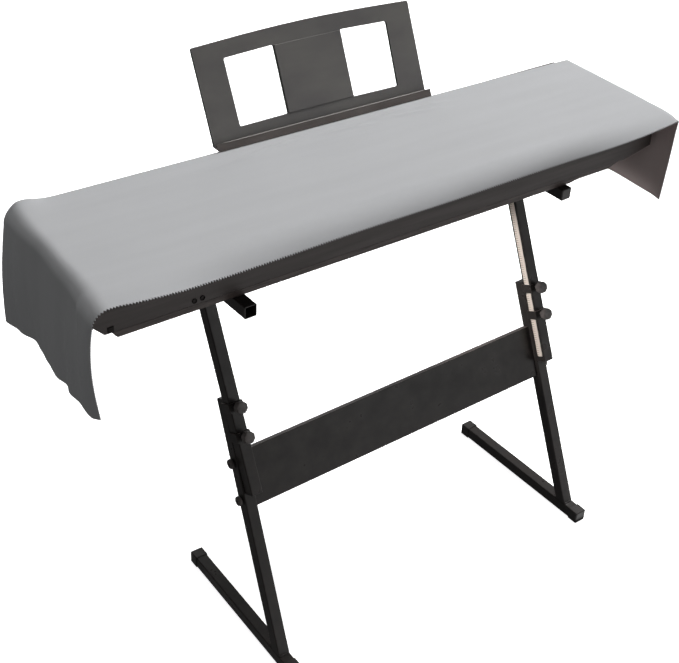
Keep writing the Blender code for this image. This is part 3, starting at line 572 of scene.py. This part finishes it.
SIDES = {"left": -1, "right": 1}
LEVELS = ("upper", "lower")
STAND_LEAN = math.radians(24.65)
REST_LEAN = math.radians(26.0)
up_the_stand = (0.0, math.sin(STAND_LEAN), math.cos(STAND_LEAN))
down_the_rest = (0.0, -math.sin(REST_LEAN), -math.cos(REST_LEAN))
to_the_left = (-1.0, 0.0, 0.0)
paint, rest_plastic = finishes["black_powder_coat"], finishes["moulded_abs_rest"]
ledge_plastic, piano_plastic = finishes["moulded_abs_ledge"], finishes["moulded_abs_piano"]
board_foil, painted_shade_plastic = finishes["foil_faced_board"], finishes["abs_edge_painted_shade"]
# Faces of the crossbar and straps that look up the stand get the pale finish, a painted highlight.
painted_highlight_tops = [(up_the_stand, finishes["powder_coat_painted_highlight"])]
# Narrow edges of the rest that look left or down get a dark finish, painted shade.
painted_shade_edges = [(to_the_left, painted_shade_plastic), (down_the_rest, painted_shade_plastic)]
softened("crossbar", "crossbar_folded_sheet", 0.0010, paint, steps=3, facing=painted_highlight_tops)
softened(
    "music_rest_panel", "music_rest_frame", 0.0009, rest_plastic, steps=3, sharp=6,
    facing=painted_shade_edges,
)
softened("music_rest_ledge", "music_rest_shelf", 0.0012, ledge_plastic, steps=3, sharp=6)
softened("piano_shell", "piano_body", 0.0015, piano_plastic, steps=3)
softened("piano_bottom_board", "piano_board", 0.0015, board_foil)
for side in SIDES:
    for level in LEVELS:
        strap = f"strap_{side}_{level}"
        softened(strap, f"clamp_{strap}", 0.0005, paint, facing=painted_highlight_tops)

# %% [markdown]
# ## The cloth
#
# A sheet that lies on a piano is bent only where the piano's edges bend it. So the sheet
# is described by two flat coordinates: how far along it a point is, from the left hem to
# the right hem, and how far across, from the front hem to the back. Five stretches follow
# each other along it: left flap, left bend, top, right bend and right flap. A simulation
# would have to be told all of this too, and would move the hems away from where they are
# in the picture, so the shape is worked out directly.
#
# Lengths are in metres and the curl in degrees. The piano's place is the middle of its front
# edge, brought down to the floor. The curl is how far the front hem has bent down from level
# at a place along the piano, and the drift how much further or less far it reaches. The left
# bend changes across the sheet, and LEFT_BEND_ON_FLAT is about its mean, for the flat size.
# The flaps' tables say how far a flap stands out at its shoulder, belly and hem.

# %% Sizes of the draped cloth
PIANO_YAW = math.radians(-1.8)
PIANO_PLACE = Vector((0.0029, -0.0904, 0.0))
PIANO_TOP = 0.880
CLOTH_LIFT = 0.0010
CLOTH_THICKNESS = 0.0012
FRONT_OVERHANG = {"left": 0.062, "right": 0.057}
BACK_EDGE = {"left": 0.298, "right": 0.273}
LEFT_PLANE = {"front": 0.681, "back": 0.665}
RIGHT_BEND = {"start": 0.646, "radius": 0.019}
LEFT_BEND_ON_FLAT = {"start": 0.640, "radius": 0.028}
FLAP_DROP = {"left": 0.230, "right": 0.202}
SHOULDER_SWEEP = {"left": 0.002, "right": 0.008}
HEM_SWEEP = {"left": 0.008, "right": 0.002}
SWEEP_RISE = 0.15
BACK_CORNER = {"lift": 0.009, "place": -0.628, "spread": 0.030, "reach": 0.060}
TOOTH_PITCH = 0.0054
TOOTH_DEPTH = 0.0041
ROWS_ON_OVERHANG = 18
ROWS_ON_TOP = 80


def table(columns, rows):
    """The rows of a table as dictionaries, from the names of its columns."""
    return [dict(zip(columns.split(), row)) for row in rows]


FRONT_CURL = table("along curl", [
    (-0.66, 11), (-0.61, 11), (-0.57, 14), (-0.50, 26), (-0.435, 37), (-0.33, 47),
    (-0.17, 52), (0.00, 57), (0.12, 62), (0.25, 66), (0.36, 65), (0.45, 52),
    (0.54, 38), (0.60, 26), (0.635, 18), (0.66, 12),
])
HEM_DRIFT = table("along further", [
    (-0.66, 0.0000), (-0.64, 0.0000), (-0.60, 0.0052), (-0.56, 0.0071), (-0.52, 0.0064),
    (-0.46, 0.0027), (-0.40, 0.0002), (-0.28, -0.0027), (-0.16, -0.0045), (0.08, -0.0044),
    (0.20, -0.0054), (0.33, -0.0055), (0.39, -0.0046), (0.45, -0.0021), (0.56, 0.0005),
    (0.66, 0.0009),
])
LEFT_BEND = table("share start radius", [
    (-1.00, 0.6470, 0.035),
    (-0.20, 0.6420, 0.035),
    (0.25, 0.6400, 0.026),
    (0.58, 0.6375, 0.023),
    (0.86, 0.6350, 0.028),
    (1.00, 0.6355, 0.028),
])
LEFT_FLAP = table("across shoulder belly hem longer", [
    (-0.06, 0.001, 0.0068, -0.006, -0.005),
    (-0.03, 0.001, 0.0058, -0.003, 0.002),
    (0.01, 0.000, 0.003, -0.0055, 0.000),
    (0.045, 0.000, 0.003, -0.0015, 0.001),
    (0.067, 0.000, 0.003, -0.006, -0.001),
    (0.10, 0.000, 0.003, -0.0005, 0.001),
    (0.145, 0.000, 0.003, -0.0035, 0.000),
    (0.18, 0.000, 0.003, -0.0065, -0.001),
    (0.21, 0.000, 0.004, -0.009, -0.002),
    (0.257, 0.000, 0.005, 0.0035, 0.000),
    (0.30, 0.000, 0.005, 0.015, -0.002),
])
RIGHT_FLAP = table("across shoulder belly hem longer", [
    (-0.05, 0.003, 0.002, -0.007, -0.006),
    (0.00, 0.001, 0.001, 0.001, 0.000),
    (0.09, 0.001, 0.001, 0.004, 0.001),
    (0.17, 0.000, 0.002, -0.003, 0.000),
    (0.24, 0.000, 0.002, 0.005, 0.001),
    (0.30, 0.000, 0.001, 0.001, -0.001),
])
print("front overhang:", FRONT_OVERHANG, "m, flaps:", FLAP_DROP, "m")


# %% Shape of the draped cloth
def read_table(rows, place, column):
    """A function that reads one column of a table, with a cosine ease between its rows."""
    places = np.array([row[place] for row in rows])
    values = np.array([row[column] for row in rows])

    def at(where):
        where = np.clip(where, places[0], places[-1])
        index = np.clip(np.searchsorted(places, where) - 1, 0, len(places) - 2)
        share = (where - places[index]) / (places[index + 1] - places[index])
        return values[index] + (values[index + 1] - values[index]) * (0.5 - 0.5 * np.cos(np.pi * share))

    return at


def read_curve(rows, place, column):
    """A function that reads one column of a table along a smooth curve through its rows.

    Between two rows it is the cubic whose slope at a row is that between the row's neighbours.
    """
    places = np.array([row[place] for row in rows])
    values = np.array([row[column] for row in rows])
    slopes = np.gradient(values, places)

    def at(where):
        where = np.clip(where, places[0], places[-1])
        index = np.clip(np.searchsorted(places, where) - 1, 0, len(places) - 2)
        step = places[index + 1] - places[index]
        t = (where - places[index]) / step
        before = values[index] * (1 + 2 * t) * (1 - t) ** 2 + slopes[index] * step * t * (1 - t) ** 2
        return before + values[index + 1] * t**2 * (3 - 2 * t) - slopes[index + 1] * step * t**2 * (1 - t)

    return at


def curl(reach, angle):
    """A strip that bends evenly by an angle a.

    Its end comes reach · sin(a) / a forward and reach · (1 − cos(a)) / a inward.
    """
    safe = np.maximum(angle, 1e-4)
    return reach * np.sin(safe) / safe, reach * (1 - np.cos(safe)) / safe


def flap_offset(rows, across, share):
    """How far a flap stands out, and how much longer it hangs, at a share of its drop."""
    shoulder, belly, hem, longer = (
        read_table(rows, "across", column)(across) for column in ("shoulder", "belly", "hem", "longer")
    )
    return shoulder * (1 - share) + belly * np.sin(np.pi * share) + hem * share, longer * share


def drape(place, across_share):
    """The cloth's underside on the piano, as x along it, y back from its front edge, and height.

    place is 0 to 5 through the five stretches. across_share is −1 at the front hem, 0 at
    the piano's front edge and 1 at the back hem. On a bend, x is start + r · sin(turn)
    and the drop is r · (1 − cos(turn)). A flap goes down from there, pushed out by its
    table, and the left one also leans out to its plane. Past the front edge the cloth
    curls evenly.
    """
    left = place < 2.5
    side = np.where(left, -1.0, 1.0)
    far = np.clip(across_share, 0, 1)
    left_start = read_table(LEFT_BEND, "share", "start")(across_share)
    left_radius = read_table(LEFT_BEND, "share", "radius")(across_share)
    left_plane = LEFT_PLANE["front"] + (LEFT_PLANE["back"] - LEFT_PLANE["front"]) * far
    start = np.where(left, left_start, RIGHT_BEND["start"])
    radius = np.where(left, left_radius, RIGHT_BEND["radius"])
    drop = np.where(left, FLAP_DROP["left"], FLAP_DROP["right"])
    on_top = np.clip(place - 2, 0, 1)
    flat_x = -left_start + (left_start + RIGHT_BEND["start"]) * on_top
    turn = np.where(left, np.clip(2 - place, 0, 1), np.clip(place - 3, 0, 1)) * math.pi / 2
    share = np.where(left, np.clip(1 - place, 0, 1), np.clip(place - 4, 0, 1))
    out = np.where(turn > 0, start + radius * np.sin(turn), side * flat_x)
    down = radius * (1 - np.cos(turn)) + share * (drop - radius)
    overhang = FRONT_OVERHANG["left"] + (FRONT_OVERHANG["right"] - FRONT_OVERHANG["left"]) * on_top
    overhang = overhang + read_curve(HEM_DRIFT, "along", "further")(side * out)
    back_edge = BACK_EDGE["left"] + (BACK_EDGE["right"] - BACK_EDGE["left"]) * on_top
    hung = np.maximum(-across_share, 0.0)
    bent = np.radians(read_curve(FRONT_CURL, "along", "curl")(side * out))
    forward, inward = curl(overhang * hung, bent * hung)
    shoulder_sweep = np.where(left, SHOULDER_SWEEP["left"], SHOULDER_SWEEP["right"])
    hem_sweep = np.where(left, HEM_SWEEP["left"], HEM_SWEEP["right"])
    swept = hung * (shoulder_sweep * np.sin(turn) + hem_sweep * (1 - np.exp(-share / SWEEP_RISE)))
    across = np.where(across_share < 0, swept - forward, across_share * back_edge)
    left_out, left_longer = flap_offset(LEFT_FLAP, across, share)
    right_out, right_longer = flap_offset(RIGHT_FLAP, across, share)
    left_out = left_out + (left_plane - left_start - left_radius) * share
    bulge = np.where(left, left_out, right_out) * np.sin(turn) ** 2
    longer = np.where(left, left_longer, right_longer)
    corner = np.exp(-(((side * out - BACK_CORNER["place"]) / BACK_CORNER["spread"]) ** 2))
    behind = np.exp(-2 * np.maximum(back_edge - across, 0.0) / BACK_CORNER["reach"])
    lift = BACK_CORNER["lift"] * corner * behind * far * np.cos(turn) ** 2
    x = side * (out - inward * np.sin(turn) + bulge)
    z = PIANO_TOP + CLOTH_LIFT - down - inward * np.cos(turn) - longer + lift
    return np.stack(np.broadcast_arrays(x, across, z), axis=-1)


STRETCHES = np.array(
    [
        FLAP_DROP["left"] - LEFT_BEND_ON_FLAT["radius"],
        LEFT_BEND_ON_FLAT["radius"] * math.pi / 2,
        LEFT_BEND_ON_FLAT["start"] + RIGHT_BEND["start"],
        RIGHT_BEND["radius"] * math.pi / 2,
        FLAP_DROP["right"] - RIGHT_BEND["radius"],
    ]
)
SHEET_LENGTH = float(STRETCHES.sum())
SHEET_WIDTH = (sum(FRONT_OVERHANG.values()) + sum(BACK_EDGE.values())) / 2
print("flat sheet:", round(SHEET_LENGTH, 4), "by", round(SHEET_WIDTH, 4), "m")

# %% [markdown]
# ## Slack in the cloth
#
# Nothing pulls the sheet tight, so wide low swells run along the piano, and a few small
# creases gather in front of the music rest, where its foot pushes the cloth forward. Each
# is a bell curve across its line, faded at both ends of the line. The swells are half a
# millimetre high and the creases two or three, so that mainly their shading shows.

# %% Swells and creases
SWELLS = table("along across length width height slant", [
    (0.55, 0.215, 0.42, 0.022, 0.0005, -0.010),
    (0.95, 0.130, 0.50, 0.026, 0.0006, 0.020),
    (0.40, 0.085, 0.36, 0.028, 0.0005, 0.015),
    (1.25, 0.205, 0.40, 0.024, 0.0006, -0.015),
    (1.45, 0.090, 0.30, 0.028, 0.0006, 0.010),
    (0.80, 0.045, 0.45, 0.020, 0.0005, 0.000),
    (0.76, 0.252, 0.060, 0.0042, 0.0026, 0.060),
    (0.93, 0.244, 0.055, 0.0042, 0.0028, -0.100),
    (1.02, 0.256, 0.050, 0.0040, 0.0028, 0.120),
    (1.07, 0.238, 0.060, 0.0045, 0.0030, -0.140),
    (1.12, 0.252, 0.045, 0.0040, 0.0026, -0.080),
    (0.68, 0.240, 0.060, 0.0050, 0.0022, 0.090),
])


def slack(along, across):
    """How far the swells lift the cloth.

    Sum of height · exp(−(distance across its line / width)²) · exp(−(distance along it / length)²).
    """
    total = np.zeros(np.broadcast(along, across).shape)
    for swell in SWELLS:
        reach = (along - swell["along"]) / swell["length"]
        offset = (across - swell["across"] - swell["slant"] * (along - swell["along"])) / swell["width"]
        total = total + swell["height"] * np.exp(-(offset**2)) * np.exp(-(reach**2))
    return total


print("swells and creases:", len(SWELLS))

# %% Weave the grid
column_count = round(SHEET_LENGTH / TOOTH_PITCH) + 1
along = np.linspace(0, SHEET_LENGTH, column_count)
overhang_rows = -np.linspace(1, 0, ROWS_ON_OVERHANG, endpoint=False)
row_share = np.concatenate([overhang_rows, np.linspace(0, 1, ROWS_ON_TOP)])


def place_of(length_along):
    """The stretch number and share, 0 to 5, of a length measured along the flat sheet."""
    return np.interp(length_along, np.concatenate([[0.0], np.cumsum(STRETCHES)]), np.arange(6))


def across_of(share):
    """Metres across the flat sheet from the piano's front edge, at the sheet's mean width."""
    front = (FRONT_OVERHANG["left"] + FRONT_OVERHANG["right"]) / 2
    back = (BACK_EDGE["left"] + BACK_EDGE["right"]) / 2
    return np.where(share < 0, share * front, share * back)


along_grid, share_grid = np.meshgrid(along, row_share, indexing="ij")
lying = drape(place_of(along_grid), share_grid)
normal = np.cross(np.gradient(lying, axis=0), np.gradient(lying, axis=1))
normal = normal / np.linalg.norm(normal, axis=-1, keepdims=True)
lying = lying + normal * slack(along_grid, across_of(share_grid))[..., None]
print("grid:", column_count, "by", len(row_share), "points")

# %% [markdown]
# ## The pinked hem
#
# The front hem is cut with pinking shears, whose zigzag keeps a knit from fraying. Each
# tooth is one triangle between two neighbouring points of the front row, and its tip is
# reached by letting the same curl run a little further, by a share of the overhang, which
# is about a sixth of the sheet's width. The real teeth are about 4.2 mm apart, too fine for
# the picture, so they are drawn coarser. The outer side is the same grid, set off by the
# cloth's thickness, and a rim joins the two. The rim's edges stay sharp, as a cut is.

# %% Cut the teeth
OVERHANG_OF_WIDTH = 0.174
between = (along[:-1] + along[1:]) / 2
tip_share = np.full(between.shape, -1.0 - TOOTH_DEPTH / (SHEET_WIDTH * OVERHANG_OF_WIDTH))
tips = drape(place_of(between), tip_share)
rows = len(row_share)
first = np.arange(column_count - 1)
tip_numbers = column_count * rows + first
teeth = np.stack([first * rows, tip_numbers, (first + 1) * rows], axis=-1)
quads = grid_faces(column_count, rows)[:, [0, 3, 2, 1]]
under = np.concatenate([lying.reshape(-1, 3), tips])
outward = np.concatenate([normal.reshape(-1, 3), (normal[:-1, 0] + normal[1:, 0]) / 2])
piano_turn = Matrix.Rotation(PIANO_YAW, 3, "Z")
both_sides = np.concatenate([under + outward * CLOTH_THICKNESS, under])
both_sides = both_sides @ np.array(piano_turn).T + np.array(PIANO_PLACE)
print("cloth points:", len(both_sides), "teeth:", len(teeth))

# %% Join both sides with a rim
edge = np.concatenate(
    [
        np.stack([first * rows, tip_numbers], axis=-1).ravel(),
        (column_count - 1) * rows + np.arange(rows - 1),
        np.arange(column_count - 1, 0, -1) * rows + rows - 1,
        np.arange(rows - 1, 0, -1),
    ]
)
next_edge = np.roll(edge, -1)
rim = np.stack([next_edge, edge, edge + len(under), next_edge + len(under)], axis=-1)
outer_faces = [*quads.tolist(), *teeth.tolist()]
inner_faces = [*(quads[:, ::-1] + len(under)).tolist(), *(teeth[:, ::-1] + len(under)).tolist()]
cover_faces = [*outer_faces, *rim.tolist(), *inner_faces]
cover = new_piece("cover_cloth", both_sides, cover_faces, cloth_finish, sharp=50)
cover.data.materials.append(back_finish)
side_of_face = np.zeros(len(cover.data.polygons), dtype=np.int32)
side_of_face[len(outer_faces) + len(rim) :] = 1
cover.data.polygons.foreach_set("material_index", side_of_face)
grid_uv = np.stack([along_grid, across_of(share_grid)], axis=-1).reshape(-1, 2)
tip_uv = np.stack([between, across_of(tip_share)], axis=-1)
flat_uv = np.concatenate([grid_uv, tip_uv, grid_uv, tip_uv])
corner_points = np.zeros(len(cover.data.loops), dtype=np.int32)
cover.data.loops.foreach_get("vertex_index", corner_points)
cover.data.uv_layers.new(name="flat sheet")
cover.data.uv_layers["flat sheet"].data.foreach_set("uv", flat_uv[corner_points].astype(np.float32).ravel())
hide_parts("cover_sheet")
print("cloth:", len(cover.data.polygons), "faces,", len(between), "teeth")

# %% [markdown]
# ## Knobs and hand screws
#
# A clamp knob is moulded round its screw: eight flats to grip, rounded corners, and a
# slightly domed face. It is a turned shape whose radius is that of a flat, r / cos(angle
# from the middle of the flat), and never more than the rounded corner. The crossbar's
# screws are round heads with a six-sided socket.


# %% Turned pieces
POINTS_ROUND = 96
CORNER_ROUNDING = 1.015
TURNED_SHARP = 32


def turned(profile, flats):
    """A closed turned body: each ring is (radius, height, flat share).

    The radius is mixed by the flat share between a circle and a polygon with rounded
    corners, which is k · r · cos(π / flats) / cos(angle from the middle of a flat), at
    most r. A k a little over one cuts the corners round.
    """
    angle = np.linspace(0, 2 * np.pi, POINTS_ROUND, endpoint=False)
    from_flat = (angle + np.pi / flats) % (2 * np.pi / flats) - np.pi / flats
    polygon = np.minimum(np.cos(np.pi / flats) * CORNER_ROUNDING / np.cos(from_flat), 1.0)
    radius, height, share = (np.array(column)[:, None] for column in zip(*profile))
    reach = radius * (share * polygon + 1 - share)
    rings = np.stack(np.broadcast_arrays(reach * np.cos(angle), reach * np.sin(angle), height), axis=-1)
    return rings.reshape(-1, 3), grid_faces(len(profile), POINTS_ROUND, closed=True)


def stood(points, base, axis):
    """Turns points from their own upright axis to another direction, and puts them on a base point."""
    turn = np.array(Vector((0, 0, 1)).rotation_difference(Vector(axis)).to_matrix())
    return points @ turn.T + np.array(base)


def turned_piece(name, profile, flats, base, axis, finish):
    """A turned piece of black plastic that stands on its base along its axis."""
    points, faces = turned(profile, flats)
    points = stood(points, base, axis)
    return new_piece(name, points, faces, finishes[finish], TURNED_SHARP, POLE_MERGE)


TUBE_FRONT = Vector((0.0, -math.cos(STAND_LEAN), math.sin(STAND_LEAN)))
KNOB_REACH = 0.0235
KNOB_FOOT = 0.0003
KNOB_FLATS = 8
KNOB_PROFILE = [
    (0.0, 0.0003, 0), (0.0040, 0.0003, 0), (0.0040, 0.0027, 0), (0.0060, 0.0027, 0),
    (0.0060, 0.0096, 0), (0.0064, 0.0100, 0), (0.0108, 0.0100, 1), (0.0118, 0.0104, 1),
    (0.0124, 0.0114, 1), (0.0125, 0.0126, 1), (0.0125, 0.0206, 1), (0.0123, 0.0218, 1),
    (0.0116, 0.0227, 1), (0.0104, 0.0231, 1), (0.0080, 0.0233, 0.5), (0.0050, 0.0234, 0),
    (0.0, 0.0235, 0),
]
SCREW_HEAD = 0.0090
SCREW_FLATS = 6
SCREW_PROFILE = [
    (0.0, 0.0, 0), (0.0055, 0.0, 0), (0.0055, 0.0022, 0), (0.0096, 0.0026, 0),
    (0.0100, 0.0030, 0), (0.0100, 0.0058, 0), (0.0096, 0.0070, 0), (0.0086, 0.0082, 0),
    (0.0070, 0.0089, 0), (0.0040, 0.0090, 0.6), (0.0034, 0.0086, 1), (0.0032, 0.0060, 1),
    (0.0, 0.0056, 0),
]


def middle(node):
    """Middle of a solid part's box."""
    low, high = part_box(node)
    return (low + high) / 2


fittings = []
for side, sign in SIDES.items():
    for level in LEVELS:
        node = f"knob_{side}_{level}"
        base = middle(node) - TUBE_FRONT * (KNOB_REACH + KNOB_FOOT) / 2
        fittings.append(("clamp_", node, KNOB_PROFILE, KNOB_FLATS, base, TUBE_FRONT))
        node = f"side_screw_{side}_{level}"
        outward_axis = Vector((sign, 0, 0))
        base = middle(node) - outward_axis * SCREW_HEAD / 2
        fittings.append(("hand_", node, SCREW_PROFILE, SCREW_FLATS, base, outward_axis))
for prefix, node, profile, flats, base, axis in fittings:
    fitting = turned_piece(prefix + node, profile, flats, base, axis, "moulded_nylon_knob")
    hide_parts(node)
print("knobs and screws:", len(fittings))

# %% [markdown]
# ## Sockets and end block
#
# Two jack sockets sit in the piano's front near its left end, each a black bush pressed
# into the shell with a hole for the plug. A small square dark block sits on the shell's
# front at the corner where its slanted end meets the board. They are turned shapes too,
# whose height runs out of the shell's front.

# %% Sockets and end block
SOCKET_FLATS = 32
SOCKET_PROFILE = [
    (0.0, 0.0017, 0), (0.0036, 0.0017, 0), (0.0038, 0.0019, 0), (0.0038, 0.0026, 0),
    (0.0041, 0.0029, 0), (0.0046, 0.0029, 0), (0.0050, 0.0025, 0), (0.0050, 0.0002, 0),
    (0.0, 0.0002, 0),
]
BLOCK_FLATS = 4
BLOCK_PROFILE = [
    (0.0, 0.0002, 1), (0.0078, 0.0002, 1), (0.0080, 0.0004, 1), (0.0080, 0.0026, 1),
    (0.0076, 0.0030, 1), (0.0, 0.0030, 1),
]
SOCKET_PLACES = {"socket_outer": (-0.4565, 0.7878), "socket_inner": (-0.4407, 0.7888)}
BLOCK_PLACE = (-0.6160, 0.7865)
SET_INTO_SHELL = 0.0015
shell_front = piano_turn @ Vector((0, -1, 0))


def on_piano_front(name, place, profile, flats):
    """A turned piece whose foot is set a little into the piano's front at (x, z)."""
    foot = PIANO_PLACE + piano_turn @ Vector((place[0], 0.0, place[1])) - shell_front * SET_INTO_SHELL
    return turned_piece(name, profile, flats, foot, shell_front, "moulded_rubber_bush")


for name, place in SOCKET_PLACES.items():
    on_piano_front(name, place, SOCKET_PROFILE, SOCKET_FLATS)
on_piano_front("shell_end_block", BLOCK_PLACE, BLOCK_PROFILE, BLOCK_FLATS)
print("pieces on the piano's front:", len(SOCKET_PLACES) + 1)

# %% [markdown]
# ## Weld beads
#
# The posts are welded to the feet, and the height tubes to the arms. A weld laid by hand
# is a row of overlapping drops, so the bead's radius rises and falls along its line. It
# is half sunk in both tubes and painted with them.

# %% Weld beads
BEAD_RADIUS = 0.0021
BEAD_RIPPLE = 0.14
BEAD_INSET = 0.0015
DROP_PITCH = 0.0024
BEAD_RINGS, BEAD_SIDES = 61, 16


def bead(start, end, size, ripple):
    """A tube along a line, drawn in to a point at both ends.

    Its radius is r · (1 − k + k · |sin(π · distance / pitch)|) · √(1 − |2 s − 1|^10), where k
    is the ripple and s the share of the way along. Its rings stand across the X axis.
    """
    start, end = np.array(start), np.array(end)
    length = float(np.linalg.norm(end - start))
    share = np.linspace(0, 1, BEAD_RINGS)[:, None]
    angle = np.linspace(0, 2 * np.pi, BEAD_SIDES, endpoint=False)[None, :]
    drops = 1 - ripple + ripple * np.abs(np.sin(np.pi * share * length / DROP_PITCH))
    radius = size * drops * np.sqrt(np.clip(1 - np.abs(2 * share - 1) ** 10, 0, 1))
    across_line = radius * np.cos(angle), radius * np.sin(angle)
    rings = np.stack(np.broadcast_arrays(0.0, *across_line), axis=-1)
    rings = rings + (start + (end - start) * share)[:, None, :]
    return rings, grid_faces(BEAD_RINGS, BEAD_SIDES, closed=True)


TUBE_SIDE = 0.025
LEVEL_CUT = TUBE_SIDE / math.cos(STAND_LEAN)
for side in SIDES:
    low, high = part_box(f"lower_post_{side}")
    top_low, top_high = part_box(f"upper_tube_{side}")
    lines = [
        (low.x, low.y, low.z), (low.x, low.y + LEVEL_CUT, low.z),
        (top_low.x, top_high.y, top_high.z), (top_low.x, top_high.y - LEVEL_CUT, top_high.z),
    ]
    points, faces, count = [], [], 0
    for x, y, z in lines:
        ends = (x + BEAD_INSET, y, z), (x + TUBE_SIDE - BEAD_INSET, y, z)
        rings, ring_faces = bead(*ends, BEAD_RADIUS, BEAD_RIPPLE)
        points.append(rings.reshape(-1, 3))
        faces.append(ring_faces + count)
        count += len(points[-1])
    points, faces = np.concatenate(points), np.concatenate(faces)
    new_piece(f"weld_beads_{side}", points, faces, paint, merge=POLE_MERGE)
print("weld beads on each side:", len(lines))

# %% [markdown]
# ## The lip's painted highlight
#
# The top edge of the rest's lip catches the light and draws a thin light line across the
# ledge. That line is a painted highlight: a slim pale rod along the lip's front top
# edge, which starts a centimetre in from the left, where the ledge's corner is rounded.

# %% Lip edge
LIP_EDGE = {"left": (-0.2229, 0.2095, 0.8962), "right": (0.2846, 0.1856, 0.8962)}
LIP_RADIUS = 0.0011
LIP_STARTS_AT = 0.020
lip_left, lip_right = (np.array(LIP_EDGE[side]) for side in SIDES)
lip_start = lip_left + (lip_right - lip_left) * LIP_STARTS_AT
points, faces = bead(lip_start, lip_right, LIP_RADIUS, ripple=0.0)
# The pale rod is a painted highlight on the lip's top edge.
new_piece("lip_painted_highlight_rod", points, faces, finishes["painted_highlight_abs"], merge=POLE_MERGE)
print("lip edge:", round(float(np.linalg.norm(lip_right - lip_left)), 3), "m")

# %% [markdown]
# ## The height scale
#
# A printed strip on the inner face of each height tube shows how high the stand is set.
# The strip is beige film with faint ticks every five millimetres on half of its width. The
# finish draws them, from coordinates that run up the leaning tube and across the strip.

# %% Printed strip
FILM, INK = "#E6D8CC", "#AD9E90"
TICK_PITCH = 0.005
TICK_WIDTH = 0.0012
strip_mesh = frame["nodes"]["height_scale_right"].data
strip_corners = np.zeros(len(strip_mesh.vertices) * 3)
strip_mesh.vertices.foreach_get("co", strip_corners)
tube_turn = np.array(Matrix.Rotation(STAND_LEAN, 3, "X"))
strip_widths = (strip_corners.reshape(-1, 3) @ tube_turn.T)[:, 1]
strip_middle = float(strip_widths.min() + strip_widths.max()) / 2

scale_finish, scale_shader = new_finish("printed_beige_film", FILM, 0.5, IOR=1.48)
film_place = add_node(scale_finish, "ShaderNodeTexCoord").outputs["Object"]
up_tube = add_node(
    scale_finish, "ShaderNodeMapping", {"Vector": film_place, "Rotation": (STAND_LEAN, 0, 0)}
)
film_way = add_node(scale_finish, "ShaderNodeSeparateXYZ", {0: up_tube.outputs[0]}).outputs
in_pitch = add_node(scale_finish, "ShaderNodeMath", {0: film_way["Z"], 1: TICK_PITCH}, operation="MODULO")
tick = add_node(
    scale_finish, "ShaderNodeMath", {0: in_pitch.outputs[0], 1: TICK_WIDTH}, operation="LESS_THAN"
)
half = add_node(
    scale_finish, "ShaderNodeMath", {0: film_way["Y"], 1: strip_middle}, operation="GREATER_THAN"
)
printed = add_node(
    scale_finish, "ShaderNodeMath", {0: tick.outputs[0], 1: half.outputs[0]}, operation="MULTIPLY"
)
film_tones = {0: printed.outputs[0], 6: linear(FILM), 7: linear(INK)}
ink = add_node(scale_finish, "ShaderNodeMix", film_tones, data_type="RGBA")
link(scale_finish, ink.outputs[2], scale_shader.inputs["Base Color"])
for side in SIDES:
    strip = frame["nodes"][f"height_scale_{side}"]
    strip.data.materials.clear()
    strip.data.materials.append(scale_finish)
print("height scale: ticks every", TICK_PITCH * 1000, "mm on half of the strip")
